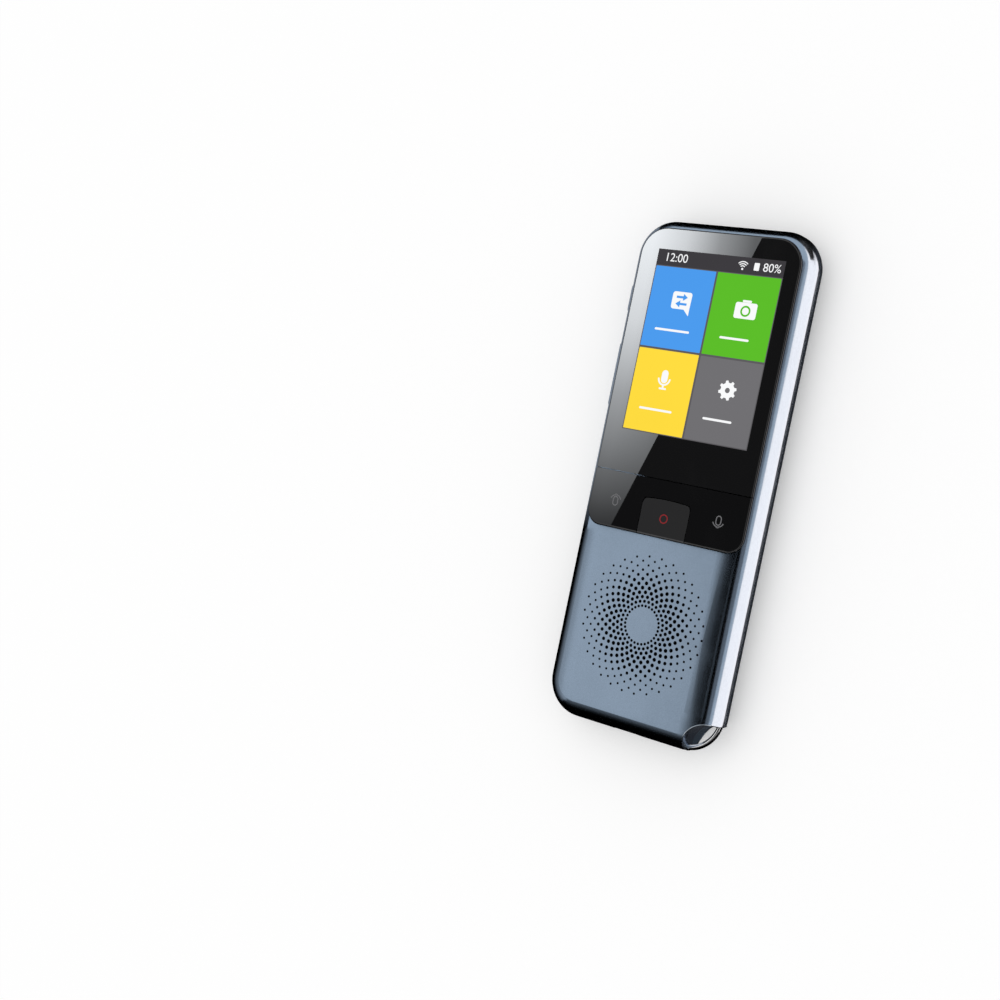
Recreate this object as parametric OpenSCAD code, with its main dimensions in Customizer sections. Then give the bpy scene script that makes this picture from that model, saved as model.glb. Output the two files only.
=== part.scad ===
// Handheld translator: a slim two-shell body with a glass front, a talk rocker
// round a centre key, a rosette speaker grille, a rear camera and a corner
// lanyard bar. It lies on its back with the screen up: X runs across it,
// +Y towards the camera end, and Z = 0 is the flat back face.

/* [Body] */
// Width across the body
body_w = 52.5; // [51.5:0.5:56]
// Length from end to end
body_l = 135.8; // [135:0.2:142]
// Thickness of the two shells together, without the glass standing proud
body_t = 12.2; // [12:0.1:13.4]
// Corner radius seen from the front
corner_r = 10; // [10:0.5:11]
// Radius of the rolled front edge
front_edge_r = 4.8; // [4.4:0.1:5.2]
// Width of the softly crowned zone inside the front outline
front_crown_w = 9; // [7:0.5:9.5]
// Radius of the rolled back edge
back_edge_r = 5.8; // [5:0.1:6]
// Width of the softly crowned zone inside the back outline
back_crown_w = 9.5; // [8:0.5:9.5]
// Radius of both crowned zones
crown_r = 40; // [30:5:120]
// Side wall of both shells
wall = 1.6; // [1.4:0.1:1.8]
// Floor of the back shell
back_wall = 1.5; // [1.3:0.1:1.6]
// Height of the parting line above the back face
part_z = 5; // [4.8:0.1:5.1]
// Height of the lip that locates the back shell in the front shell
lip_h = 0.6; // [0.4:0.1:0.8]
// Thickness of that lip
lip_t = 0.7; // [0.5:0.1:0.9]

/* [Front panel] */
// Distance from the body outline to the panel outline, at the top and sides
panel_inset = 2.6; // [2.4:0.1:2.9]
// Length of the loudspeaker's face, below the black panel
face_l = 52.1; // [51:0.1:54]
// Length of the key field at the panel's lower end
key_l = 15.2; // [14:0.1:16]
// Radius of the panel's upper corners
panel_top_r = 7.4; // [6.5:0.1:8]
// Radius of the panel's lower corners
panel_low_r = 4.3; // [3:0.1:6]
// Thickness of the window and of the keys
glass_t = 1; // [0.9:0.05:1.1]
// Height of the window above the front shell
glass_proud = 0.15; // [0.1:0.05:0.3]
// Rounded edge of the window and the keys
glass_edge_r = 0.5; // [0.3:0.05:0.6]
// Gap round the panel and between window and keys
panel_gap = 0.1; // [0.08:0.01:0.15]
// Ledge of the front shell under the window
ledge_t = 1.6; // [1.4:0.1:1.7]
// Adhesive under the window
tape_t = 0.15; // [0.1:0.05:0.2]

/* [Display] */
// Distance from each side of the window to the lit area
screen_side = 5.29; // [5:0.01:6]
// Distance from the top of the window to the lit area
screen_drop = 5.8; // [5.4:0.1:6.4]
// Distance from the lower end of the window to the lit area
screen_low = 11.14; // [10.5:0.02:12]
// Side border of the display module round the lit area
lcd_side = 3; // [2.6:0.1:3.1]
// Upper border of the display module
lcd_top = 2.7; // [2.4:0.1:2.9]
// Lower border of the display module, where its driver sits
lcd_low = 8.1; // [7:0.1:8.2]
// Thickness of the display's two glass sheets
lcd_t = 1.1; // [1:0.05:1.2]
// Thickness of the backlight
backlight_t = 1.1; // [1:0.05:1.2]

/* [Keys] */
// Width of the centre key
centre_key_w = 14.3; // [12:0.1:16]
// Height of the centre key at its crown
centre_key_h = 10; // [9:0.1:10.4]
// Radius of the centre key's upper corners
centre_key_r = 2; // [1:0.1:3]
// Radius of the centre key's crowned upper edge
centre_crown_r = 60; // [40:5:120]
// Distance from the middle to each talk mark
talk_mark_x = 15.6; // [14:0.1:16.4]
// Distance from the panel's lower edge to the talk marks
talk_mark_up = 7.35; // [6.8:0.05:7.8]
// Distance from the panel's lower edge to the centre key's plunger
centre_up = 5.1; // [4.6:0.1:5.6]
// Room under the keys for their travel
key_room = 0.45; // [0.42:0.01:0.5]
// Travel of the centre key
centre_travel = 0.3; // [0.2:0.05:0.3]
// Tilt of the talk rocker to each side, in degrees
talk_tilt = 0.9; // [0.5:0.1:0.9]
// Radius of the plungers under the keys
plunger_r = 1.4; // [1:0.1:1.6]

/* [Grille] */
// Rings of holes
grille_rings = 12; // [6:1:12]
// Holes in each ring
ring_holes = 30; // [12:2:30]
// Radius of the first ring
first_ring_r = 5.05; // [5:0.05:6]
// Distance from the last ring to the rim of the loudspeaker
grille_margin = 0.87; // [0.8:0.01:2]
// Smallest hole
hole_min_d = 0.6; // [0.4:0.02:0.62]
// Extra diameter of the largest hole
hole_extra_d = 0.38; // [0.1:0.02:0.38]
// Thickness of the front shell behind the grille
grille_skin = 1.6; // [1.2:0.1:1.8]

/* [Speaker] */
// Distance from the panel to the loudspeaker
speaker_high_room = 4.3; // [4:0.1:6]
// Distance from the lower end of the body to the loudspeaker
speaker_low_room = 10; // [9.5:0.1:12]
// Depth of the loudspeaker from its gasket to its magnet
speaker_depth = 4.6; // [4.2:0.1:4.8]
// Radius of its magnet
magnet_r = 9.5; // [8:0.5:11]

/* [Camera] */
// Length of the camera window's pocket
cam_l = 31.8; // [30:0.1:33]
// Height of that pocket
cam_h = 10.9; // [10.4:0.1:11.4]
// Distance from the top of the body to the pocket's centre
cam_drop = 14; // [13.6:0.1:14.4]
// Radius of the rolled edge round the pocket
cam_roll_r = 1.5; // [1.2:0.1:1.8]
// Depth of the camera window below the back face
cam_depth = 0.9; // [0.6:0.05:1]
// Thickness of the camera window
cam_glass_t = 0.7; // [0.6:0.05:0.8]
// Ledge under the camera window
cam_ledge_t = 0.8; // [0.7:0.05:0.9]
// Width of the metal trim round the camera window
cam_trim = 0.3; // [0.2:0.05:0.4]
// Distance from the middle to the lens
lens_x = 8.1; // [7.5:0.1:9]
// Outer radius of the lens ring
lens_ring_r = 3; // [2.8:0.05:3.2]
// Distance from the middle to the flash
flash_x = 1.3; // [0.8:0.1:1.6]
// Width of the flash lens
flash_w = 2.2; // [1.8:0.1:2.4]

/* [Side keys] */
// Height of the side keys' middle above the back face
side_key_z = 7.2; // [7.1:0.05:7.3]
// Width of the side keys
side_key_w = 2.4; // [2.2:0.1:2.5]
// Height of the side keys above the side
side_key_proud = 0.45; // [0.3:0.05:0.6]
// Length of the power key
power_key_l = 8; // [7:0.5:9]
// Length of the volume key
volume_key_l = 18; // [16:0.5:20]
// Distance from the top of the body to the power key
power_drop = 21.9; // [21:0.1:22.5]
// Distance from the top of the body to the volume key
volume_drop = 42.9; // [42.5:0.1:43.5]
// Travel of the power key
power_travel = 0.35; // [0.2:0.05:0.35]
// Tilt of the volume key each way, in degrees
volume_tilt = 2; // [1:0.25:2]

/* [Lanyard corner] */
// Radius of the notch cut through the corner
notch_r = 6.9; // [6:0.1:7]
// Distance of the notch's centre outside the corner
notch_out = 1.9; // [1.6:0.1:2.4]
// Wall inside the notch
notch_wall = 1.5; // [1.2:0.1:1.6]
// Radius of the lanyard bar
bar_r = 0.75; // [0.6:0.05:0.8]
// Height of the bar above the back face
bar_z = 6.6; // [6.4:0.1:6.8]

/* [Power and boards] */
// Distance from each side of the cavity to the battery
battery_side_room = 6.65; // [6:0.05:9]
// Distance from the camera's island to the battery
battery_top_room = 6.85; // [4:0.05:9]
// Distance from the loudspeaker to the battery, for the leads and their plug
battery_low_room = 6.1; // [5.6:0.1:9]
// Thickness of the battery
battery_t = 4.65; // [4:0.05:4.7]
// Thickness of the main and charging boards
board_t = 0.8; // [0.7:0.05:0.8]
// Thickness of the key board
key_board_t = 0.6; // [0.5:0.05:0.6]
// Height of the shield cans
can_h = 1.1; // [1:0.05:1.1]
// Radius of the board screws
screw_r = 0.8; // [0.7:0.05:0.85]

/* [Hidden] */
$fn = 48;

// Outline, seen from the front
half_w = body_w / 2;
half_l = body_l / 2;
through = 40;
section_overlap = 0.1;

// Heights, from the front face down
panel_top_z = body_t + glass_proud;
panel_low_z = panel_top_z - glass_t;
ledge_z = panel_low_z - tape_t;
lcd_low_z = ledge_z - lcd_t;
backlight_low_z = lcd_low_z - backlight_t;
ceiling_z = ledge_z - ledge_t;
key_floor_z = ledge_z - key_room;
can_gap = 0.15;
board_top_z = backlight_low_z - can_gap - can_h;
board_low_z = board_top_z - board_t;

// Front panel
panel_half_w = half_w - panel_inset;
panel_top_y = half_l - panel_inset;
panel_low_y = -half_l + face_l;
split_y = panel_low_y + key_l;

// Display module
lcd_half_w = panel_half_w - screen_side + lcd_side;
lcd_top_y = panel_top_y - screen_drop + lcd_top;
lcd_low_y = split_y + screen_low - lcd_low;
lcd_gap = 0.25;
flex_room = 0.9;
flex_t = 0.15;
driver_ledge = 3.2;
driver_w = 16;
driver_l = 1.2;
display_flex_w = 20;
display_plug_l = 3;

// Cavity of the two shells
cavity_half_w = half_w - wall;
cavity_half_l = half_l - wall;
cavity_r = corner_r - wall;
ceiling_edge_r = 2;

// Lanyard notch, centred outside the rounded corner
corner_x = half_w - corner_r;
corner_y = -half_l + corner_r;
notch_reach = (corner_r + notch_out) * sqrt(0.5);
notch_x = corner_x + notch_reach;
notch_y = corner_y - notch_reach;
bar_path_r = corner_r - bar_r;
bar_sink = 9;
bar_fit = 0.02;
notch_half_angle = notch_span(corner_r, corner_r + notch_out, notch_r);

// Keys and what lies under them
key_mark_y = panel_low_y + talk_mark_up;
centre_mark_y = panel_low_y + centre_up;
plunger_low_z = ceiling_z + max(centre_travel, talk_mark_x * sin(talk_tilt)) + 0.05;
plunger_gap = 0.2;
rib_r = panel_low_z - key_floor_z;
rib_margin = 0.6;
rib_l = key_l - rib_margin - centre_key_h - 0.8;
hook_t = 0.8;
hook_w = 2.4;
hook_barb = 0.45;
hook_barb_h = 0.4;
hook_play = 0.4;
hook_slack = 0.25;
talk_hook_x = 19.9;
centre_hook_x = centre_key_w / 2 - 1.85;
centre_hook_y = panel_low_y + 2.6;
membrane_t = 0.4;
dome_gap = 0.05;
dome_h = 0.3;
dome_r = 2;
membrane_low_z = ceiling_z - membrane_t;
key_board_top_z = membrane_low_z - dome_gap - dome_h;
key_board_low_z = key_board_top_z - key_board_t;
key_board_half_w = talk_hook_x - 1.5;
key_board_low_y = panel_low_y + 0.8;
key_board_top_y = split_y - 0.8;
post_r = 0.7;
post_x = 11.5;
post_in_y = 1.8;
key_plug_w = 8;
key_plug_l = 3;

// Grille and speaker
speaker_r = (face_l - speaker_high_room - speaker_low_room) / 2;
grille_y = panel_low_y - speaker_high_room - speaker_r;
ring_step = (speaker_r - grille_margin - first_ring_r) / (grille_rings - 1);
well_top_z = body_t - grille_skin;
well_r = speaker_r + 0.2;
collar_t = 1.2;
collar_h = 1.2;
mesh_t = 0.25;
gasket_t = 0.6;
gasket_w = 1.6;
speaker_top_z = well_top_z - mesh_t - gasket_t;
speaker_low_z = speaker_top_z - speaker_depth;
flange_t = 0.6;
flange_w = 2;
coil_r = 6.5;
yoke_top_z = speaker_low_z + 1.9;
cup_t = 0.7;
roll_r = 0.7;
paper_t = 0.25;
speaker_lead_r = 0.4;
speaker_lead_x = 2;

// Camera
cam_y = half_l - cam_drop;
cam_seat_z = cam_depth + cam_glass_t;
cam_island_z = cam_seat_z + cam_ledge_t;
cam_island_grow = 1.6;
cam_fit = 0.05;
lens_ring_t = 0.35;
lens_proud = 0.15;
cam_body_w = 8.4;
cam_gasket_t = 0.5;
cam_body_z = cam_island_z + cam_gasket_t;
barrel_r = lens_ring_r - 0.1;
lens_r = 1.5;
lens_sink = 0.7;
lens_rim = 0.6;
lens_crown = 0.45;
cover_t = 0.45;
cover_drop = 0.15;

// Side keys, on the -X side
power_y = half_l - power_drop;
volume_y = half_l - volume_drop;
key_cap_t = wall + side_key_proud;
side_gap = 0.15;
side_lip = 0.7;
side_lip_t = 0.5;
side_lip_x = -cavity_half_w + 0.05;
volume_lip_x = -cavity_half_w + side_gap + 0.05;
volume_lip_l = 8;
switch_x = side_lip_x + side_lip_t + power_travel + 0.15;
switch_button = 0.4;
switch_t = 0.8;
switch_l = 3.4;
volume_switch_y = 6;
volume_pad_gap = 0.24;
volume_pad_t = switch_x - volume_lip_x - volume_switch_y * sin(volume_tilt) - volume_pad_gap;
side_flex_x = switch_x + switch_button + switch_t;
side_flex_t = 0.2;
plate_x = side_flex_x + side_flex_t;
plate_t = 0.6;
plate_over = 3;
plate_low_y = volume_y - volume_key_l / 2 - plate_over;
plate_high_y = power_y + power_key_l / 2 + plate_over;
plate_half_h = 1.4;
rib_t = 1.6;

// Battery, from the back up
battery_low_z = back_wall + tape_t;
battery_edge_r = 1.2;
battery_half_w = cavity_half_w - battery_side_room;
battery_low_y = grille_y + speaker_r + battery_low_room;
battery_top_y = cam_y - cam_h / 2 - cam_island_grow - battery_top_room;
battery_rib_t = 0.9;
battery_rib_h = 2;
tape_margin = 4;
lead_r = 0.35;
lead_l = 2.6;
lead_x = 9;
lead_pitch = 2;
plug_w = 5;
plug_l = 3.2;
plug_t = 1.1;

// Main board and its screws
board_half_w = cavity_half_w - 1.85;
board_top_y = cavity_half_l - 0.3;
board_low_y = grille_y + speaker_r - 1.3;
board_corner_r = 7;
can_left_x = -board_half_w + 3.8;
can_left_w = 1 - can_left_x;
can_left_l = 22;
can_right_x = 4;
can_right_w = board_half_w - 2.8 - can_right_x;
can_right_l = 24;
can_low_y = lcd_low_y + 11.64;
can_step = 6;
can_wall = 0.2;
chip_t = 0.8;
boss_r = 1.9;
top_boss_r = 1.65;
low_boss = [cavity_half_w - 3.85, grille_y + 20.4];
top_boss = [14.5, lcd_top_y + 1.8];
screw_head_r = 1.4;
screw_head_t = 0.7;
screw_l = 2.8;
screw_fit = 0.02;

// Charging socket at the lower end
usb_w = 8.94;
usb_h = 3.26;
usb_l = 7.35;
usb_wall = 0.3;
usb_inset = 0.5;
usb_gap = 0.15;
usb_z = part_z + usb_h / 2 + usb_gap + 0.27;
usb_board_top_z = usb_z - usb_h / 2;
usb_board_low_z = usb_board_top_z - board_t;
usb_board_half_w = notch_x - notch_r - notch_wall - 0.76;
usb_board_l = 9.6;
usb_board_low_y = -cavity_half_l + 0.7;
usb_boss = [usb_board_half_w - 2.7, -cavity_half_l + 5.5];
usb_back_t = 1.2;
tongue_w = 6.66;
tongue_t = 0.7;
tongue_in = 0.9;
usb_flex_w = 6;
mic_x = -8.2;
mic_size = [2.75, 0.95, 1.85];
mic_boot_size = [3.8, 2.9, 3];
mic_boot_y = -cavity_half_l + 0.3;
mic_port_r = 0.45;

// Antenna in the back shell
antenna_w = 16;
antenna_l = 7;
antenna_side_room = 5.65;

// Body colours
blue_front = [0.42, 0.5, 0.6];
blue_back = [0.6, 0.72, 0.8];
gloss_black = [0.05, 0.05, 0.06];
steel = [0.75, 0.76, 0.78];
board_green = [0.08, 0.32, 0.2];
copper = [0.75, 0.45, 0.2];
rubber_grey = [0.2, 0.2, 0.21];

// Half the angle at a circle's centre over which a second circle covers its rim
function notch_span(rim_r, distance, cut_r) =
    acos((rim_r * rim_r + distance * distance - cut_r * cut_r) / (2 * rim_r * distance));

// Hole diameter of one ring: it swells and shrinks once over the inner rings
function hole_d(ring) =
    hole_min_d + hole_extra_d * max(0, sin(180 * min(1, (ring + 0.8) / 9.5)));

// Flat half section of a slab's edge, with its outer corners rounded
module edge_section(reach, low, high, low_r, high_r) {
    intersection() {
        translate([0, low]) square([reach, high - low]);
        union() {
            translate([0, low + low_r]) square([reach, high - low - low_r - high_r]);
            translate([0, low]) square([reach - low_r, low_r + 0.01]);
            translate([0, high - high_r - 0.01]) square([reach - high_r, high_r + 0.01]);
            if (low_r > 0) translate([reach - low_r, low + low_r]) circle(low_r);
            if (high_r > 0) translate([reach - high_r, high - high_r]) circle(high_r);
        }
    }
}

// Slab with rounded plan corners, swept as true arcs from three half sections:
// the lower corners', the upper corners' and the long sides'
module swept_slab(half, low_y, high_y, low_corner, high_corner) {
    for (side = [0, 1]) mirror([side, 0, 0]) {
        translate([half - high_corner, high_y - high_corner, 0])
            rotate_extrude(angle = 90) children(1);
        translate([half - low_corner, low_y + low_corner, 0]) rotate([0, 0, 270])
            rotate_extrude(angle = 90) children(0);
        translate([0, high_y - high_corner, 0]) rotate([90, 0, 0])
            linear_extrude(high_y - high_corner - low_y - low_corner) children(2);
    }
    translate([-half + high_corner, high_y - high_corner, 0]) rotate([90, 0, 90])
        linear_extrude(2 * (half - high_corner)) children(1);
    mirror([0, 1, 0]) translate([-half + low_corner, -low_y - low_corner, 0])
        rotate([90, 0, 90]) linear_extrude(2 * (half - low_corner)) children(0);
}

// Slab whose edges are rolled with one radius below and one above
module rolled_slab(half, low_y, high_y, low_corner, high_corner, low, high, low_r, high_r) {
    swept_slab(half, low_y, high_y, low_corner, high_corner) {
        edge_section(low_corner, low, high, low_r, high_r);
        edge_section(high_corner, low, high, low_r, high_r);
        edge_section(half, low, high, low_r, high_r);
    }
}

// Flat rounded rectangle with one radius at its lower and one at its upper corners
module round_plate(half, low_y, high_y, low_corner, high_corner) {
    big_corner = max(low_corner, high_corner);
    translate([-half + big_corner, low_y]) square([2 * (half - big_corner), high_y - low_y]);
    translate([-half, low_y + low_corner])
        square([2 * half, high_y - low_y - low_corner - high_corner]);
    translate([-half + low_corner, low_y]) square([2 * (half - low_corner), low_corner]);
    translate([-half + high_corner, high_y - high_corner])
        square([2 * (half - high_corner), high_corner]);
    for (side = [-1, 1]) {
        translate([side * (half - low_corner), low_y + low_corner]) circle(low_corner);
        translate([side * (half - high_corner), high_y - high_corner]) circle(high_corner);
    }
}

// Flat pill of full length and full height, centred
module pill(length, height) {
    square([length - height, height], center = true);
    for (side = [-1, 1]) translate([side * (length - height) / 2, 0]) circle(height / 2);
}

// A block given by its lowest and highest corners
module block(low, high) {
    translate(low) cube(high - low);
}

// Copies its children to both sides of the body
module both_sides() {
    children();
    mirror([1, 0, 0]) children();
}

// Depth of a face's roll and crown together
function face_depth(crown_w, edge_r) =
    crown_r - sqrt(pow(crown_r - edge_r, 2) - pow(crown_w - edge_r, 2));

// Half section under one face, down to a given depth: flat in the middle, then
// crowned, then rolled into the side with a circle that touches the crown's
module face_section(reach, crown_w, edge_r, low) {
    flat_w = reach - crown_w;
    join_x = flat_w + crown_r * (crown_w - edge_r) / (crown_r - edge_r);
    edge_z = -face_depth(crown_w, edge_r);
    foot_z = edge_z - section_overlap;
    translate([0, low]) square([reach, edge_z - low]);
    translate([0, foot_z]) square([flat_w, -foot_z]);
    intersection() {
        translate([flat_w, foot_z]) square([join_x - flat_w, -foot_z]);
        translate([flat_w, -crown_r]) circle(crown_r, $fn = 480);
    }
    intersection() {
        translate([join_x, foot_z]) square([reach - join_x, -foot_z]);
        translate([reach - edge_r, edge_z]) circle(edge_r);
    }
}

// Half section of the closed body, from its middle out to its side
module body_section(reach) {
    back_z = face_depth(back_crown_w, back_edge_r);
    front_z = body_t - face_depth(front_crown_w, front_edge_r);
    mid_z = (back_z + front_z) / 2;
    translate([0, body_t]) face_section(reach, front_crown_w, front_edge_r,
        mid_z - body_t - section_overlap);
    mirror([0, 1]) face_section(reach, back_crown_w, back_edge_r,
        -mid_z - section_overlap);
}

// Outer form of the closed body
module body_form() {
    swept_slab(half_w, -half_l, half_l, corner_r, corner_r) {
        body_section(corner_r);
        body_section(corner_r);
        body_section(half_w);
    }
}

// Room inside the two shells, with the notch's wall left standing
module cavity() {
    difference() {
        rolled_slab(cavity_half_w, -cavity_half_l, cavity_half_l, cavity_r, cavity_r,
            back_wall, ceiling_z, back_edge_r - wall, ceiling_edge_r);
        translate([notch_x, notch_y, 0]) cylinder(r = notch_r + notch_wall, h = body_t);
    }
}

// The slice of space between two heights
module slice(low, high) {
    block([-body_w, -body_l, low], [body_w, body_l, high]);
}

// Cut through the corner for the lanyard
module notch_cut() {
    translate([notch_x, notch_y, -1]) cylinder(r = notch_r, h = body_t + 2, $fn = 96);
}

// The bar's path round the corner, as a bent rod of any radius
module bent_rod(rod_r) {
    reach = notch_half_angle + bar_sink;
    translate([corner_x, corner_y, bar_z]) rotate([0, 0, -45 - reach])
        rotate_extrude(angle = 2 * reach, $fn = 96) translate([bar_path_r, 0]) circle(rod_r);
}

// The whole black panel, glass and keys in one
module panel_form() {
    rolled_slab(panel_half_w, panel_low_y, panel_top_y, panel_low_r, panel_top_r,
        panel_low_z, panel_top_z, 0, glass_edge_r);
}

// Outline of the centre key, grown by a gap
module centre_key_outline(grow) {
    half = centre_key_w / 2 + grow;
    high_y = panel_low_y + centre_key_h + grow;
    intersection() {
        round_plate(half, panel_low_y - 5, high_y, centre_key_r, centre_key_r);
        translate([0, high_y - centre_crown_r]) circle(centre_crown_r, $fn = 200);
    }
}

// Snap hook: a leg down through the deck with a barb towards +X
module snap_hook() {
    low = ceiling_z - hook_play - hook_barb_h;
    block([-hook_t / 2, -hook_w / 2, low], [hook_t / 2, hook_w / 2, panel_low_z + 0.2]);
    block([0, -hook_w / 2, low], [hook_t / 2 + hook_barb, hook_w / 2, low + hook_barb_h]);
}

// Window that a hook's leg needs, with room for the barb where asked
module hook_window(barb_room, low, high) {
    block([-hook_t / 2 - hook_slack, -hook_w / 2 - hook_slack, low],
        [hook_t / 2 + hook_slack + barb_room, hook_w / 2 + hook_slack, high]);
}

// Puts its child at the talk rocker's two hooks, barbs outwards
module at_talk_hooks() {
    both_sides() translate([talk_hook_x, key_mark_y, 0]) children();
}

// Puts its child at the centre key's two hooks, barbs outwards
module at_centre_hooks() {
    both_sides() translate([centre_hook_x, centre_hook_y, 0]) children();
}

// Places of the three plungers: left, right and centre
module at_plungers() {
    for (place = [[-talk_mark_x, key_mark_y], [talk_mark_x, key_mark_y], [0, centre_mark_y]])
        translate([place[0], place[1], 0]) children();
}

// Places of the four stakes that hold the key board
module at_posts() {
    for (x = [-post_x, post_x], y = [key_board_low_y + post_in_y, key_board_top_y - post_in_y])
        translate([x, y, 0]) children();
}

// The rosette: rings of round holes, each ring turned half a pitch from the last
module grille_holes() {
    pitch = 360 / ring_holes;
    translate([0, grille_y, well_top_z - 1]) linear_extrude(grille_skin + 2)
        for (ring = [0:grille_rings - 1], hole = [0:ring_holes - 1])
            rotate((hole + ((grille_rings - 1 - ring) % 2) / 2) * pitch)
                translate([first_ring_r + ring * ring_step, 0])
                    circle(d = hole_d(ring), $fn = 16);
}

// Prism of a pill that lies along Y and is extruded along +X
module side_pill(from_x, length, height, thickness) {
    translate([from_x, 0, side_key_z]) rotate([90, 0, 90])
        linear_extrude(thickness) pill(length, height);
}

// Keycap with a rounded face, seen from the side, its face towards -X
module side_cap(length) {
    end_r = side_key_w / 2;
    translate([-half_w + wall, 0, side_key_z]) rotate([90, 0, -90]) {
        for (side = [-1, 1]) translate([side * (length / 2 - end_r), 0, 0])
            rotate_extrude() edge_section(end_r, 0, key_cap_t, 0, 0.3);
        for (side = [0, 1]) mirror([0, side, 0])
            translate([-length / 2 + end_r, 0, 0]) rotate([90, 0, 90])
                linear_extrude(length - 2 * end_r) edge_section(end_r, 0, key_cap_t, 0, 0.3);
    }
}

// Rolled recess round the camera window, cut into the back face
module camera_recess() {
    end_r = cam_h / 2;
    drop = cam_roll_r - cam_depth;
    spread = sqrt(cam_roll_r * cam_roll_r - drop * drop);
    both_sides() translate([(cam_l - cam_h) / 2, cam_y, 0])
        rotate([0, 0, -90]) rotate_extrude(angle = 180) camera_roll(end_r, spread);
    for (side = [0, 1]) translate([0, cam_y, 0]) mirror([0, side, 0])
        translate([-(cam_l - cam_h) / 2, 0, 0]) rotate([90, 0, 90])
            linear_extrude(cam_l - cam_h) camera_roll(end_r, spread);
}

// Half section of that recess
module camera_roll(end_r, spread) {
    difference() {
        translate([0, -1]) square([end_r + spread, 1 + cam_depth]);
        translate([end_r + spread, cam_roll_r]) circle(cam_roll_r);
    }
    translate([0, -1]) square([end_r, 1 + cam_seat_z]);
}

// Post for a board screw, hanging from the front shell
module screw_boss(radius, foot_z) {
    translate([0, 0, foot_z]) cylinder(r = radius, h = ceiling_z + 0.3 - foot_z);
}

// Screw hole up a boss
module screw_hole(foot_z) {
    translate([0, 0, foot_z - 1]) cylinder(r = screw_r + screw_fit, h = screw_l + 0.2 + 1);
}

// Board screw, driven up into a boss through a board of board_t
module board_screw(foot_z) {
    translate([0, 0, foot_z - board_t - screw_head_t]) cylinder(r = screw_head_r, h = screw_head_t);
    translate([0, 0, foot_z - board_t - 0.01]) cylinder(r = screw_r, h = board_t + screw_l);
}

// Puts its children on the screw axes of the main board
module at_main_screws() {
    both_sides() translate(low_boss) children();
    both_sides() translate(top_boss) children();
}

// Opening of the charging socket through the lower end
module usb_opening() {
    translate([0, -half_l - 1, usb_z]) rotate([-90, 0, 0])
        linear_extrude(wall + 2) pill(usb_w + 2 * usb_gap, usb_h + 2 * usb_gap);
}

// Front shell: frame of the window and keys, speaker grille, bosses and sides
module front_housing() color(blue_front) difference() {
    union() {
        difference() {
            intersection() {
                body_form();
                slice(part_z, body_t + 1);
            }
            cavity();
            translate([0, grille_y, ceiling_z - 1])
                cylinder(r = well_r, h = well_top_z - ceiling_z + 1);
        }
        translate([0, grille_y, ceiling_z - collar_h]) difference() {
            cylinder(r = well_r + collar_t, h = collar_h + 0.3);
            translate([0, 0, -1]) cylinder(r = well_r, h = collar_h + 2);
        }
        both_sides() translate(low_boss) screw_boss(boss_r, board_top_z);
        both_sides() translate(top_boss) screw_boss(top_boss_r, board_top_z);
        both_sides() translate(usb_boss) screw_boss(boss_r, usb_board_top_z);
        at_posts() translate([0, 0, key_board_low_z - 0.25])
            cylinder(r = post_r, h = ceiling_z - key_board_low_z + 0.5);
        for (y = [plate_low_y - rib_t / 2, plate_high_y - rib_t / 2])
            block([-cavity_half_w - 0.3, y, side_key_z - plate_half_h - 0.2],
                [plate_x + plate_t + 0.3, y + rib_t, ceiling_z + 0.3]);
    }
    // Seat of the window, opening for the display and deck of the keys
    translate([0, 0, ledge_z]) linear_extrude(through)
        round_plate(panel_half_w + panel_gap, split_y - panel_gap,
            panel_top_y + panel_gap, panel_gap, panel_top_r + panel_gap);
    translate([0, 0, key_floor_z]) linear_extrude(through)
        round_plate(panel_half_w + panel_gap, panel_low_y - panel_gap,
            split_y - panel_gap, panel_low_r + panel_gap, panel_gap);
    block([-lcd_half_w - lcd_gap, lcd_low_y - flex_room, ceiling_z - 1],
        [lcd_half_w + lcd_gap, lcd_top_y + lcd_gap, through]);
    at_plungers() translate([0, 0, ceiling_z - 1])
        cylinder(r = plunger_r + plunger_gap, h = through);
    at_talk_hooks() hook_window(0, ceiling_z - 1, through);
    at_centre_hooks() hook_window(0, ceiling_z - 1, through);
    grille_holes();
    // Side keys and the steel plate behind them
    translate([0, power_y, 0])
        side_pill(-half_w - 1, power_key_l + 2 * side_gap, side_key_w + 2 * side_gap, wall + 2);
    translate([0, volume_y, 0])
        side_pill(-half_w - 1, volume_key_l + 2 * side_gap, side_key_w + 2 * side_gap, wall + 2);
    block([-cavity_half_w, plate_low_y + rib_t / 2, part_z - 1],
        [plate_x, plate_high_y - rib_t / 2, side_key_z + side_key_w / 2 + side_lip + side_gap]);
    block([plate_x - 0.05, plate_low_y - 0.05, side_key_z - plate_half_h - 1],
        [plate_x + plate_t + 0.05, plate_high_y + 0.05, side_key_z + plate_half_h + 0.05]);
    // Lower end
    usb_opening();
    translate([mic_x, -half_l - 1, usb_z]) rotate([-90, 0, 0])
        cylinder(r = mic_port_r, h = wall + 2);
    notch_cut();
    bent_rod(bar_r + bar_fit);
    // Screw holes and the groove for the back shell's snap beads
    at_main_screws() screw_hole(board_top_z);
    both_sides() translate(usb_boss) screw_hole(usb_board_top_z);
    snap_beads(0.05);
}

// Beads along the long sides that snap the shells together
module snap_beads(grow) {
    for (y = [-half_l + 31.9, volume_y - volume_key_l / 2 - 22, half_l - corner_r - 7.9])
        both_sides() translate([cavity_half_w - 0.1, y, part_z + lip_h / 2])
            rotate([90, 0, 0]) cylinder(r = 0.25 + grow, h = 8 + 2 * grow, center = true);
}

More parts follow.
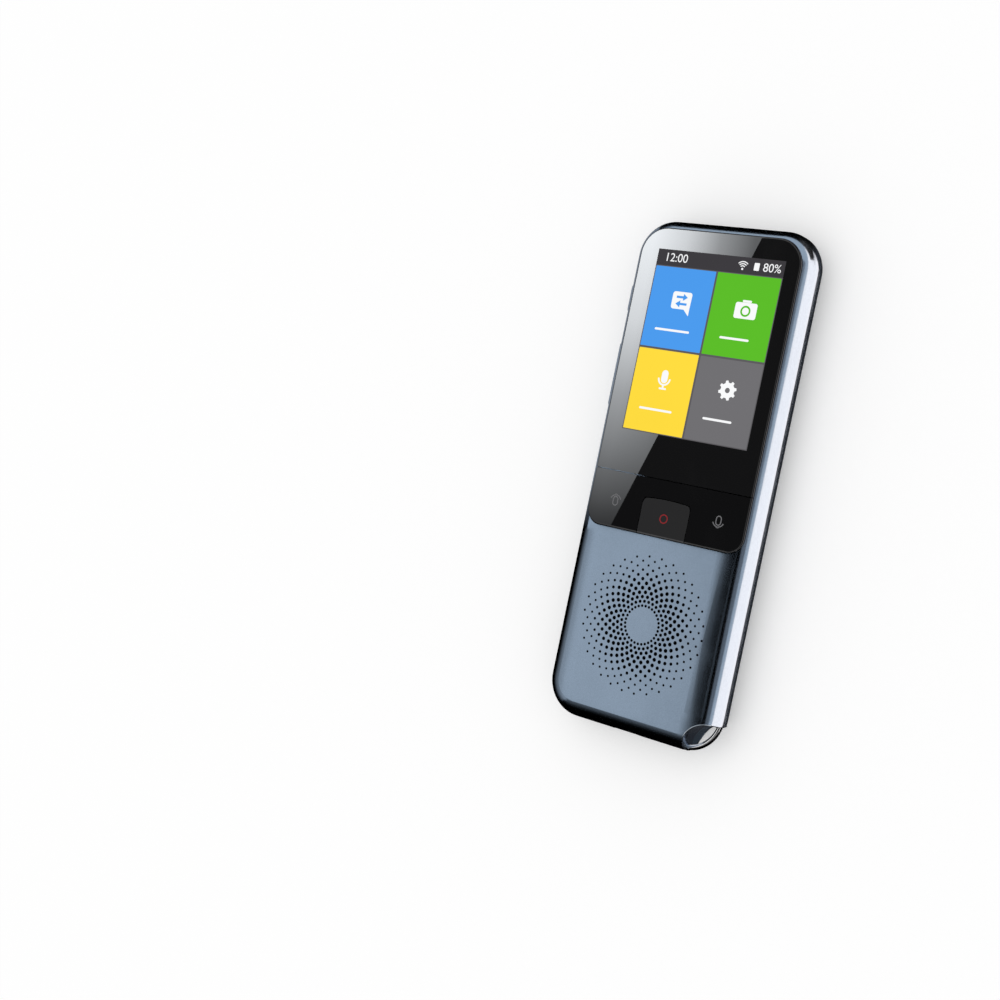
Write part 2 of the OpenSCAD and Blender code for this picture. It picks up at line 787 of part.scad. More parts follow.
// Back shell: flat back, rolled edges, camera island and locating lip
module back_housing() color(blue_back) difference() {
    union() {
        difference() {
            intersection() {
                body_form();
                slice(-1, part_z);
            }
            cavity();
        }
        translate([0, cam_y, back_wall - 0.2]) linear_extrude(cam_island_z - back_wall + 0.2)
            pill(cam_l + 2 * cam_island_grow, cam_h + 2 * cam_island_grow);
        back_lip();
        both_sides() block([battery_half_w + 0.3, battery_low_y + 2, back_wall - 0.2],
            [battery_half_w + 0.3 + battery_rib_t, battery_top_y - 2, back_wall + battery_rib_h]);
    }
    camera_recess();
    translate([lens_x, cam_y, 0]) cylinder(r = barrel_r + 0.3, h = through);
    translate([flash_x, cam_y, 0]) block([-flash_w / 2 - 0.2, -flash_w / 2 - 0.2, 0],
        [flash_w / 2 + 0.2, flash_w / 2 + 0.2, through]);
    notch_cut();
}

// Lip and snap beads of the back shell, open at the keys, the socket and the notch
module back_lip() {
    inset = 0.1;
    difference() {
        union() {
            translate([0, 0, part_z - 1]) linear_extrude(lip_h + 1) difference() {
                round_plate(cavity_half_w - inset, -cavity_half_l + inset,
                    cavity_half_l - inset, cavity_r - inset, cavity_r - inset);
                round_plate(cavity_half_w - inset - lip_t, -cavity_half_l + inset + lip_t,
                    cavity_half_l - inset - lip_t, cavity_r - inset - lip_t,
                    cavity_r - inset - lip_t);
            }
            snap_beads(0);
        }
        translate([notch_x, notch_y, 0]) cylinder(r = notch_r + notch_wall + inset, h = through);
        block([-usb_board_half_w - 0.5, -half_l, 0],
            [usb_board_half_w + 0.5, usb_board_low_y + 1, through]);
        block([-half_w, plate_low_y - rib_t, 0], [plate_x + 1, plate_high_y + rib_t, through]);
    }
}

// Display window: the upper part of the panel
module display_window() color(gloss_black) intersection() {
    panel_form();
    block([-half_w, split_y, 0], [half_w, half_l, through]);
}

// Adhesive frame between the window and its ledge
module display_tape() color("dimgray") translate([0, 0, ledge_z]) linear_extrude(tape_t)
    difference() {
        round_plate(panel_half_w - 0.3, split_y + 0.3, panel_top_y - 0.3, 0.3,
            panel_top_r - 0.3);
        translate([-lcd_half_w - lcd_gap, lcd_low_y - flex_room])
            square([2 * (lcd_half_w + lcd_gap), lcd_top_y + lcd_gap - lcd_low_y + flex_room]);
    }

// Clear glue that joins the display to the window
module screen_glue() color("lightblue")
    block([-lcd_half_w + 0.5, lcd_low_y + 0.5, ledge_z],
        [lcd_half_w - 0.5, lcd_top_y - 0.5, panel_low_z]);

// Display's two glass sheets: the lower one reaches further, for the driver
module lcd_panel() color([0.12, 0.14, 0.2]) {
    block([-lcd_half_w, lcd_low_y, lcd_low_z], [lcd_half_w, lcd_top_y, ledge_z - lcd_t / 2]);
    block([-lcd_half_w, lcd_low_y + driver_ledge, ledge_z - lcd_t / 2],
        [lcd_half_w, lcd_top_y, ledge_z]);
    block([-driver_w / 2, lcd_low_y + 0.9, ledge_z - lcd_t / 2],
        [driver_w / 2, lcd_low_y + 0.9 + driver_l, ledge_z - 0.2]);
}

// Backlight in its shallow tray
module backlight() color("white")
    block([-lcd_half_w, lcd_low_y + 0.4, backlight_low_z], [lcd_half_w, lcd_top_y, lcd_low_z]);

// Display's flexible lead, folded behind it onto the main board
module display_flex() color(copper) {
    flex_y = lcd_low_y - 0.35;
    flex_z = board_top_z + 0.4;
    far_y = lcd_low_y + display_plug_l + 2;
    translate([-display_flex_w / 2, 0, 0]) rotate([90, 0, 90]) linear_extrude(display_flex_w) polygon([
        [lcd_low_y, ledge_z - lcd_t / 2 - flex_t], [flex_y, ledge_z - lcd_t / 2 - flex_t],
        [flex_y, flex_z], [far_y, flex_z], [far_y, flex_z + flex_t],
        [flex_y + flex_t, flex_z + flex_t], [flex_y + flex_t, ledge_z - lcd_t / 2 - 2 * flex_t],
        [lcd_low_y, ledge_z - lcd_t / 2 - 2 * flex_t]
    ]);
    block([1 - display_flex_w / 2, lcd_low_y + 1.5, board_top_z],
        [display_flex_w / 2 - 1, lcd_low_y + 1.5 + display_plug_l, flex_z]);
}

// Talk rocker: the arch of black keys round the centre key, with its fulcrum and hooks
module talk_rocker() color(gloss_black) {
    difference() {
        intersection() {
            panel_form();
            block([-half_w, -half_l, 0], [half_w, split_y - 2 * panel_gap, through]);
        }
        linear_extrude(through) centre_key_outline(2 * panel_gap);
    }
    translate([0, split_y - rib_margin, panel_low_z]) rotate([90, 0, 0])
        cylinder(r = rib_r, h = rib_l);
    both_sides() translate([talk_mark_x, key_mark_y, plunger_low_z])
        cylinder(r = plunger_r, h = panel_low_z - plunger_low_z + 0.2);
    at_talk_hooks() snap_hook();
}

// Centre key with its plunger and hooks
module centre_key() color([0.1, 0.1, 0.11]) {
    intersection() {
        panel_form();
        linear_extrude(through) centre_key_outline(0);
    }
    translate([0, centre_mark_y, plunger_low_z])
        cylinder(r = plunger_r, h = panel_low_z - plunger_low_z + 0.2);
    at_centre_hooks() snap_hook();
}

// Outline shared by the silicone membrane and the key board
module key_board_outline() {
    difference() {
        translate([-key_board_half_w, key_board_low_y])
            square([2 * key_board_half_w, key_board_top_y - key_board_low_y]);
        at_posts() circle(post_r + 0.1);
    }
}

// Silicone membrane under the key deck
module key_membrane() color(rubber_grey) difference() {
    translate([0, 0, membrane_low_z]) linear_extrude(membrane_t) key_board_outline();
    at_centre_hooks() hook_window(hook_barb, membrane_low_z - 1, through);
}

// Three snap domes
module key_domes() color(steel) at_plungers() translate([0, 0, key_board_top_z])
    cylinder(r1 = dome_r, r2 = dome_r * 0.4, h = dome_h);

// Board that carries the domes
module key_board() color(board_green) difference() {
    translate([0, 0, key_board_low_z]) linear_extrude(key_board_t) key_board_outline();
    at_centre_hooks() hook_window(hook_barb, key_board_low_z - 1, through);
}

// Plug between the key board and the main board
module key_connector() color("ivory")
    block([-key_plug_w / 2, key_mark_y + 1, board_top_z],
        [key_plug_w / 2, key_mark_y + 1 + key_plug_l, key_board_low_z]);

// Power key with the lip that keeps it in
module power_key() color(blue_front) translate([0, power_y, 0]) {
    side_cap(power_key_l);
    side_pill(side_lip_x - 0.1, power_key_l, side_key_w, 0.2);
    side_pill(side_lip_x, power_key_l + 2 * side_lip, side_key_w + 2 * side_lip, side_lip_t);
}

// Volume key, which rocks on the middle of its lip
module volume_rocker() color(blue_front) translate([0, volume_y, 0]) {
    side_cap(volume_key_l);
    side_pill(-cavity_half_w - 0.1, volume_key_l, side_key_w, side_gap + 0.2);
    side_pill(volume_lip_x, volume_lip_l, side_key_w + 2 * side_lip, side_lip_t);
    for (side = [-1, 1]) translate([volume_lip_x, side * volume_switch_y, side_key_z])
        rotate([0, 90, 0]) cylinder(r = 0.8, h = volume_pad_t);
}

// Places of the three side switches
module at_side_switches() {
    for (y = [power_y, volume_y - volume_switch_y, volume_y + volume_switch_y])
        translate([switch_x, y, side_key_z]) children();
}

// Tact switches behind the side keys
module side_switches() color(steel) at_side_switches() {
    rotate([0, 90, 0]) cylinder(r = 0.6, h = switch_button + 0.1);
    block([switch_button, -switch_l / 2, -1.2], [switch_button + switch_t, switch_l / 2, 1.2]);
}

// Flexible lead that carries the side switches
module side_flex() color(copper)
    block([side_flex_x, plate_low_y + 1, side_key_z - plate_half_h + 0.1],
        [plate_x, plate_high_y - 1, side_key_z + plate_half_h - 0.1]);

// Steel plate that backs the side switches, held in two slotted ribs
module side_key_plate() color(steel)
    block([plate_x, plate_low_y, side_key_z - plate_half_h],
        [plate_x + plate_t, plate_high_y, side_key_z + plate_half_h]);

// Dark glass over the camera, with holes for the lens ring and the flash
module camera_window() color([0.08, 0.09, 0.12])
    translate([0, cam_y, cam_depth]) linear_extrude(cam_glass_t) difference() {
        pill(cam_l - 2 * cam_fit - 2 * cam_trim, cam_h - 2 * cam_fit - 2 * cam_trim);
        translate([lens_x, 0]) circle(lens_ring_r + 0.02);
        translate([flash_x, 0]) square(flash_w + 0.04, center = true);
    }

// Polished metal trim round the camera window
module camera_trim() color(steel)
    translate([0, cam_y, cam_depth - 0.15]) linear_extrude(cam_glass_t + 0.15) difference() {
        pill(cam_l - 2 * cam_fit, cam_h - 2 * cam_fit);
        pill(cam_l - 2 * cam_fit - 2 * cam_trim, cam_h - 2 * cam_fit - 2 * cam_trim);
    }

// Turned ring round the lens, with an inner ledge for its cover
module lens_ring() color(steel) translate([lens_x, cam_y, 0]) difference() {
    translate([0, 0, cam_depth - lens_proud]) cylinder(r = lens_ring_r, h = cam_glass_t + lens_proud);
    translate([0, 0, -1]) cylinder(r = lens_ring_r - lens_ring_t, h = cam_seat_z - cover_drop + 1);
    cylinder(r = lens_ring_r - 0.8, h = through);
}

// Clear disc over the lens
module lens_cover() color("black") translate([lens_x, cam_y, cam_seat_z - cover_drop - cover_t])
    cylinder(r = lens_ring_r - lens_ring_t - 0.02, h = cover_t);

// Camera hanging from the main board, its domed lens sunk in the barrel
module camera_module() color([0.1, 0.1, 0.12]) translate([lens_x, cam_y, 0]) {
    block([-cam_body_w / 2, -cam_body_w / 2, cam_body_z],
        [cam_body_w / 2, cam_body_w / 2, board_low_z]);
    translate([0, 0, cam_seat_z + 0.1]) rotate_extrude() polygon(concat(
        [[0, cam_body_z - cam_seat_z], [barrel_r, cam_body_z - cam_seat_z], [barrel_r, 0],
            [lens_r + lens_rim, 0], [lens_r, lens_sink]],
        [for (a = [75:-15:0]) [lens_r * sin(a), lens_sink - lens_crown * cos(a)]]
    ));
}

// Foam that keeps dust out between the camera and the back shell
module camera_gasket() color(rubber_grey) translate([lens_x, cam_y, cam_island_z])
    linear_extrude(cam_gasket_t) difference() {
        square(cam_body_w, center = true);
        circle(barrel_r + 0.3);
    }

// Frosted cover of the flash
module flash_lens() color([0.9, 0.9, 0.6]) translate([flash_x, cam_y, cam_depth + 0.05])
    linear_extrude(cam_glass_t - 0.05) square(flash_w, center = true);

// White light diode behind it
module flash_led() color("khaki") translate([flash_x, cam_y, cam_seat_z + 0.1])
    linear_extrude(0.7) square(flash_w - 0.2, center = true);

// Stand that carries the diode from the main board
module flash_stand() color(rubber_grey) translate([flash_x, cam_y, 0])
    block([-1.3, -1.3, cam_seat_z + 0.8], [1.3, 1.3, board_low_z]);

// Polished bar bent across the notch, its ends sunk into the front shell
module lanyard_bar() color(steel) bent_rod(bar_r);

// Woven mesh behind the grille
module speaker_mesh() color("black") translate([0, grille_y, well_top_z - mesh_t])
    cylinder(r = well_r - 0.1, h = mesh_t);

// Foam ring between the mesh and the loudspeaker
module speaker_gasket() color(rubber_grey) translate([0, grille_y, speaker_top_z])
    difference() {
        cylinder(r = speaker_r, h = gasket_t);
        translate([0, 0, -1]) cylinder(r = speaker_r - gasket_w, h = gasket_t + 2);
    }

// Pressed steel frame of the loudspeaker
module speaker_frame() color(steel) translate([0, grille_y, 0]) rotate_extrude()
    polygon([
        [speaker_r, speaker_top_z], [speaker_r - flange_w, speaker_top_z],
        [speaker_r - flange_w, speaker_top_z - flange_t + 0.1],
        [magnet_r + 0.7, yoke_top_z + 0.4], [coil_r + 0.8, yoke_top_z + 0.4],
        [coil_r + 0.8, yoke_top_z], [magnet_r + 1, yoke_top_z],
        [speaker_r - flange_w + 0.3, speaker_top_z - flange_t],
        [speaker_r, speaker_top_z - flange_t]
    ]);

// Cone with its half-roll surround and dust cap, one sheet of even thickness
module speaker_cone() color("dimgray") translate([0, grille_y, 0]) rotate_extrude() {
    roll_x = speaker_r - flange_w - roll_r - 0.05;
    roll_z = speaker_top_z - flange_t + 0.15;
    neck_z = yoke_top_z + 0.9;
    top_line = concat(
        [[0, neck_z + 0.7 + paper_t], [coil_r - 0.2, neck_z + paper_t]],
        [for (a = [180:-15:0]) [roll_x + roll_r * cos(a), roll_z + paper_t + roll_r * sin(a)]]
    );
    polygon(concat(top_line, [for (i = [len(top_line) - 1:-1:0]) top_line[i] - [0, paper_t]]));
}

// Voice coil in the magnet's gap, joined to the cone
module voice_coil() color(copper) translate([0, grille_y, yoke_top_z - 0.9]) difference() {
    cylinder(r = coil_r - 0.2, h = 1.8);
    translate([0, 0, -1]) cylinder(r = coil_r - 0.5, h = 4);
}

// Magnet cup with its pole piece and ring-shaped gap
module speaker_magnet() color([0.5, 0.5, 0.52]) translate([0, grille_y, speaker_low_z])
    difference() {
        cylinder(r = magnet_r, h = yoke_top_z - speaker_low_z);
        translate([0, 0, cup_t]) difference() {
            cylinder(r = coil_r + 0.3, h = through);
            cylinder(r = coil_r - 0.9, h = yoke_top_z - speaker_low_z - cup_t);
        }
    }

// Two short leads from the loudspeaker to the main board
module speaker_leads() color("firebrick") both_sides()
    translate([speaker_lead_x, board_low_y + 0.6, board_top_z])
        cylinder(r = speaker_lead_r, h = speaker_top_z - flange_t - board_top_z);

// Flat lithium cell in its pouch
module battery() color([0.7, 0.72, 0.74])
    rolled_slab(battery_half_w, battery_low_y, battery_top_y, 1.5, 1.5,
        battery_low_z, battery_low_z + battery_t, battery_edge_r, battery_edge_r);

// Adhesive under the battery
module battery_tape() color("white")
    block([-battery_half_w + tape_margin, battery_low_y + tape_margin, back_wall],
        [battery_half_w - tape_margin, battery_top_y - tape_margin, battery_low_z]);

// Two leads from the battery to its connector
module battery_leads() color("firebrick") for (x = [lead_x, lead_x + lead_pitch]) {
    lead_z = battery_low_z + battery_t / 2;
    translate([x, battery_low_y, lead_z]) rotate([90, 0, 0]) cylinder(r = lead_r, h = lead_l);
    translate([x, battery_low_y - lead_l, lead_z - lead_r])
        cylinder(r = lead_r, h = board_low_z - plug_t - lead_z + lead_r);
}

// Connector of the battery, under the main board
module battery_connector() color("ivory")
    translate([lead_x + (lead_pitch - plug_w) / 2, battery_low_y - 1 - plug_l, board_low_z - plug_t])
        cube([plug_w, plug_l, plug_t]);

// Main circuit board
module main_board() color(board_green) difference() {
    translate([0, 0, board_low_z]) linear_extrude(board_t)
        round_plate(board_half_w, board_low_y, board_top_y, 1, board_corner_r);
    block([-half_w, plate_low_y - rib_t, 0],
        [plate_x + plate_t + 0.6, plate_high_y + rib_t, through]);
    at_main_screws() cylinder(r = screw_r + 0.1, h = through);
}

// Pressed lids over the processor and the power section, under the display
module shield_cans() color(steel) {
    can([can_left_x, can_low_y], [can_left_w, can_left_l]);
    can([can_right_x, can_low_y + can_step], [can_right_w, can_right_l]);
}

// One lid, open below
module can(corner, size) {
    translate([corner[0], corner[1], board_top_z]) difference() {
        cube([size[0], size[1], can_h]);
        translate([can_wall, can_wall, -can_wall])
            cube([size[0] - 2 * can_wall, size[1] - 2 * can_wall, can_h]);
    }
}

// Processor, memory and power chips in the cans, and the radio below the board
module chips() color([0.1, 0.1, 0.1]) {
    chip([can_left_x + can_left_w * 0.2, can_low_y + can_left_l * 0.2], can_left_w * 0.6, board_top_z);
    chip([can_right_x + can_right_w * 0.12, can_low_y + can_step + can_right_l * 0.5],
        can_right_w * 0.62, board_top_z);
    chip([can_right_x + can_right_w * 0.3, can_low_y + can_step + can_right_l * 0.1],
        can_right_w * 0.38, board_top_z);
    chip([can_left_x + can_left_w * 0.25, cam_y - cam_body_w - 1.5], cam_body_w, board_low_z - chip_t);
}

// One square chip
module chip(corner, width, low) {
    translate([corner[0], corner[1], low]) cube([width, width, chip_t]);
}

// Six screws that hold the boards to the front shell
module board_screws() color(steel) {
    at_main_screws() board_screw(board_top_z);
    both_sides() translate(usb_boss) board_screw(usb_board_top_z);
}

// Small board that carries the charging socket
module usb_board() color(board_green) difference() {
    block([-usb_board_half_w, usb_board_low_y, usb_board_low_z],
        [usb_board_half_w, usb_board_low_y + usb_board_l, usb_board_top_z]);
    both_sides() translate(usb_boss) cylinder(r = screw_r + 0.1, h = through);
}

// Drawn shell of the charging socket
module usb_socket() color(steel) translate([0, -half_l + usb_inset, usb_z]) rotate([-90, 0, 0])
    difference() {
        linear_extrude(usb_l) pill(usb_w, usb_h);
        translate([0, 0, -1]) linear_extrude(usb_l - usb_back_t + 1)
            pill(usb_w - 2 * usb_wall, usb_h - 2 * usb_wall);
    }

// Contact tongue inside the socket
module usb_tongue() color("black")
    block([-tongue_w / 2, -half_l + usb_inset + tongue_in, usb_z - tongue_t / 2],
        [tongue_w / 2, -half_l + usb_inset + usb_l - usb_back_t, usb_z + tongue_t / 2]);

// Flexible lead from the charging board, along the back, to the main board
module usb_flex() color(copper) {
    near_y = usb_board_low_y + usb_board_l;
    far_y = board_low_y + 1.5;
    floor_z = back_wall + 0.05;
    translate([-usb_flex_w - 4, 0, 0]) rotate([90, 0, 90]) linear_extrude(usb_flex_w) polygon([
        [near_y - 3, usb_board_low_z], [near_y + 0.5, usb_board_low_z],
        [near_y + 4, floor_z + flex_t], [far_y - 7, floor_z + flex_t],
        [far_y, board_low_z], [far_y + 3, board_low_z],
        [far_y + 3, board_low_z - flex_t], [far_y + 0.1, board_low_z - flex_t],
        [far_y - 6.9, floor_z], [near_y + 3.9, floor_z],
        [near_y + 0.4, usb_board_low_z - flex_t], [near_y - 3, usb_board_low_z - flex_t]
    ]);
}

// Microphone at the lower end
module microphone() color(steel)
    translate([mic_x - mic_size[0] / 2, mic_boot_y + mic_boot_size[1] - mic_size[1],
        usb_z - mic_size[2] / 2]) cube(mic_size);

// Rubber boot that seals the microphone to its port
module mic_boot() color(rubber_grey) difference() {
    translate([mic_x - mic_boot_size[0] / 2, mic_boot_y, usb_board_top_z]) cube(mic_boot_size);
    translate([mic_x, mic_boot_y - 1, usb_z]) rotate([-90, 0, 0])
        cylinder(r = mic_port_r, h = mic_boot_size[1]);
    translate([mic_x - mic_size[0] / 2 - 0.02, mic_boot_y + mic_boot_size[1] - mic_size[1] - 0.02,
        usb_z - mic_size[2] / 2 - 0.02]) cube([mic_size[0] + 0.04, 5, mic_size[2] + 0.04]);
}

// Flat antenna stuck inside the back shell
module antenna_flex() color("gold")
    translate([cavity_half_w - antenna_side_room - antenna_w, grille_y + 3, back_wall])
        cube([antenna_w, antenna_l, flex_t]);

front_housing();
back_housing();
display_window();
display_tape();
screen_glue();
lcd_panel();
backlight();
display_flex();
talk_rocker();
centre_key();
key_membrane();
key_domes();
key_board();
key_connector();
power_key();
volume_rocker();
side_switches();
side_flex();
side_key_plate();
camera_window();
camera_trim();
lens_ring();
lens_cover();
camera_module();
camera_gasket();
flash_lens();
flash_led();
flash_stand();
lanyard_bar();
speaker_mesh();
speaker_gasket();
speaker_frame();
speaker_cone();
voice_coil();
speaker_magnet();
speaker_leads();
battery();
battery_tape();
battery_leads();
battery_connector();
main_board();
shield_cans();
chips();
board_screws();
usb_board();
usb_socket();
usb_tongue();
usb_flex();
microphone();
mic_boot();
antenna_flex();
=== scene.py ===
import math
import bmesh
import bpy
from mathutils import Euler, Matrix, Vector


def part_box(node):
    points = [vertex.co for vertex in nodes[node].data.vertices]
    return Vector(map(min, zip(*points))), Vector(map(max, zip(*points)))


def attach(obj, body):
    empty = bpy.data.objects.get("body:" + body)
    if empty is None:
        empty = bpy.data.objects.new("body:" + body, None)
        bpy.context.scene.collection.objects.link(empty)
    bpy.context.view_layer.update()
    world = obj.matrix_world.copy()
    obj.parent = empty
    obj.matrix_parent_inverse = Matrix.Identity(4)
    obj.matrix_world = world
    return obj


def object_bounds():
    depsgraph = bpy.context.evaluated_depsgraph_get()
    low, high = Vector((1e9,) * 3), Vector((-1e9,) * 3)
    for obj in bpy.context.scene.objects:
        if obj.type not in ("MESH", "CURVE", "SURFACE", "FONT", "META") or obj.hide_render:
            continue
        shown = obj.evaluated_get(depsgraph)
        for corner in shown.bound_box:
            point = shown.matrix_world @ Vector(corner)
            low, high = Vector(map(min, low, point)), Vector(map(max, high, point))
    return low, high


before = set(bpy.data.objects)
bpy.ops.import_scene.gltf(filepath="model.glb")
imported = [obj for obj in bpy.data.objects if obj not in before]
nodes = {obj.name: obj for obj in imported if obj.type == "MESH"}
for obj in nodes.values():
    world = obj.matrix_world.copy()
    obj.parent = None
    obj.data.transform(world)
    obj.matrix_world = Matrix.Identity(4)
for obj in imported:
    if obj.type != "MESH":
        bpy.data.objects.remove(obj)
cad_box = [list(corner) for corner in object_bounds()]
scene = bpy.context.scene
scene.view_settings.view_transform = "Standard"
MM = 0.001


# ---- Camera ----------------------------------------------
# The view from the right of the translator, over its long side, with the body standing
# nearly upright in the square picture. Its place is in millimetres, its turns in degrees.
def in_scene(name, data):
    """A new object, linked to the scene."""
    linked = bpy.data.objects.new(name, data)
    scene.collection.objects.link(linked)
    return linked


CAMERA_PLACE = (201.97, -2.20, 368.46)
CAMERA_TURNS = (6.541, 35.070, 14.242)
camera = in_scene("camera", bpy.data.cameras.new("camera"))
camera.location = Vector(CAMERA_PLACE) * MM
camera.rotation_euler = Euler([math.radians(turn) for turn in CAMERA_TURNS])
camera.data.lens = 56.18
camera.data.clip_start = 0.01
scene.camera = camera


# ---- Studio ----------------------------------------------
# A white sweep under an even white room. Only glossy surfaces see the cards round the
# table: black flags that edge the painted shells, and a long reflector on the right.
def blank_material(name):
    """An empty node material and its tree."""
    material = bpy.data.materials.new(name)
    material.use_nodes = True
    material.node_tree.nodes.clear()
    return material, material.node_tree


def feed(tree, socket, value):
    """Links an input to an output, or gives it a value of its own."""
    if hasattr(value, "is_output"):
        tree.links.new(value, socket)
    elif socket.type == "RGBA" and len(value) == 3:
        socket.default_value = (*value, 1)
    else:
        socket.default_value = value


def add(tree, kind, settings=None, **sockets):
    """A node with its settings, and its inputs fed by name."""
    node = tree.nodes.new(kind)
    for name, value in (settings or {}).items():
        setattr(node, name, value)
    for name, value in sockets.items():
        feed(tree, next(s for s in node.inputs if s.name.replace(" ", "_") == name and s.enabled), value)
    return node


def fed(tree, kind, settings, *values):
    """A node with its settings, and its inputs fed in their order."""
    node = add(tree, kind, settings)
    for socket, value in zip(node.inputs, values):
        feed(tree, socket, value)
    return node


def calc(operation, *values):
    """The output of a Math node, in the tree of the sockets that feed it."""
    tree = next(value for value in values if hasattr(value, "is_output")).id_data
    return fed(tree, "ShaderNodeMath", {"operation": operation}, *values).outputs[0]


def times(first, second):
    """The product of two numbers or sockets."""
    return calc("MULTIPLY", first, second)


def times_plus(first, second, third):
    """The product of the first two with the third added."""
    return calc("MULTIPLY_ADD", first, second, third)


def between(value, low, high, to_low, to_high, smooth=False):
    """The output of a Map Range node."""
    kind = "SMOOTHSTEP" if smooth else "LINEAR"
    return add(value.id_data, "ShaderNodeMapRange", {"interpolation_type": kind}, Value=value,
               From_Min=low, From_Max=high, To_Min=to_low, To_Max=to_high).outputs[0]


def object_place(tree):
    """A point's place on the object, in metres."""
    return add(tree, "ShaderNodeTexCoord").outputs["Object"]


def seen_directly(tree):
    """1 where the camera looks, also in a mirror and through glass, and 0 for other light."""
    rays = add(tree, "ShaderNodeLightPath").outputs
    seen = calc("MAXIMUM", rays["Is Camera Ray"], rays["Is Glossy Ray"])
    return calc("MAXIMUM", seen, rays["Is Transmission Ray"])


def stage_plane(name, corners, material):
    """A flat piece of the studio from its corners in millimetres."""
    mesh = bpy.data.meshes.new(name)
    mesh.from_pydata([Vector(corner) * MM for corner in corners], [], [list(range(len(corners)))])
    mesh.materials.append(material)
    plane = in_scene(name, mesh)
    return plane


def level(low_x, low_y, high_x, high_y, z):
    """Corners of a plane that lies level."""
    return [(low_x, low_y, z), (high_x, low_y, z), (high_x, high_y, z), (low_x, high_y, z)]


FLOOR_HALF = 2500
FLOOR_DROP = 0.3
FLOOR_WHITE = (0.94, 0.94, 0.94)
FLOOR_LIFT = 0.26
floor_material, tree = blank_material("white_sweep")
matt = add(tree, "ShaderNodeBsdfDiffuse", Color=FLOOR_WHITE)
lift = add(tree, "ShaderNodeEmission", Strength=times(seen_directly(tree), FLOOR_LIFT))
lifted = fed(tree, "ShaderNodeAddShader", {}, matt.outputs[0], lift.outputs[0])
clear = add(tree, "ShaderNodeBsdfTransparent")
from_under = add(tree, "ShaderNodeNewGeometry").outputs["Backfacing"]
sweep = fed(tree, "ShaderNodeMixShader", {}, from_under, lifted.outputs[0], clear.outputs[0])
add(tree, "ShaderNodeOutputMaterial", Surface=sweep.outputs[0])
stage_plane("floor", level(-FLOOR_HALF, -FLOOR_HALF, FLOOR_HALF, FLOOR_HALF, -FLOOR_DROP), floor_material)

ROOM_LIGHT = 0.78
room = bpy.data.worlds.new("white_room")
room.use_nodes = True
scene.world = room
tree = room.node_tree
tree.nodes.clear()
strength = times_plus(seen_directly(tree), 1 - ROOM_LIGHT, ROOM_LIGHT)
white = add(tree, "ShaderNodeBackground", Color=(1, 1, 1), Strength=strength)
add(tree, "ShaderNodeOutputWorld", Surface=white.outputs[0])


def card(name, corners, colour):
    """A card that only reflections see: black it is a flag, bright it is a reflector."""
    material, tree = blank_material(name)
    add(tree, "ShaderNodeOutputMaterial", Surface=add(tree, "ShaderNodeEmission", Color=colour).outputs[0])
    material.cycles.emission_sampling = "NONE"
    plane = stage_plane(name, corners, material)
    for ray in ("camera", "diffuse", "shadow", "transmission"):
        setattr(plane, "visible_" + ray, False)
    return plane


def brightness(plane):
    """The socket that sets how bright a card is."""
    tree = plane.data.materials[0].node_tree
    return next(node for node in tree.nodes if node.type == "EMISSION").inputs["Strength"]


def faded(plane, axis, dark_at, white_at, power=1.0):
    """Lets a card's light grow from nothing to full along an axis, in millimetres."""
    tree = plane.data.materials[0].node_tree
    place = add(tree, "ShaderNodeSeparateXYZ", Vector=object_place(tree)).outputs[axis]
    risen = between(place, dark_at * MM, white_at * MM, 0, 1)
    tree.links.new(calc("POWER", risen, power), brightness(plane))


def lit_only(receivers_name, *planes):
    """Makes bright cards lights for the pieces that join one collection alone."""
    receivers = bpy.data.collections.new(receivers_name)
    for plane in planes:
        plane.data.materials[0].cycles.emission_sampling = "AUTO"
        plane.light_linking.receiver_collection = receivers
    return receivers


# On the table, from just outside the body: black past both ends and beside the left side's
# lower half, grey beside its upper half, and low walls that carry each on. The rises are the
# heights where a wall is dark and where it is white.
BLACK, WHITE = (0, 0, 0), (1, 1, 1)
LOW_GREY = (0.4, 0.41, 0.43)
CARD_GAP = 0.4
SIDE, END = [reach / MM + CARD_GAP for reach in cad_box[1][:2]]
TABLE = 0.02
TABLE_REACH, NEAR_REACH, RIGHT_REACH = 400, 300, 60
BLACK_END, GREY_START = -18, -2
WALL_BACK = 7
LEFT_WALL_X = -SIDE - WALL_BACK
LEFT_WALL_NEAR, LEFT_WALL_FAR = -120, 90
LEFT_BLACK_H, LEFT_GREY_H, NEAR_H, FAR_H = 28, 16, 38, 12
LEFT_RISE, NEAR_RISE = (12, 30), (14, 44)
NEAR_RISE_POWER = 2.2
END_WALL_X = (-60, 45)


def side_wall(x, near, far, high):
    """Corners of a wall beside the body."""
    return [(x, near, 0), (x, far, 0), (x, far, high), (x, near, high)]


def end_wall(y, high):
    """Corners of a wall past one end of the body."""
    left, right = END_WALL_X
    return [(left, y, 0), (right, y, 0), (right, y, high), (left, y, high)]


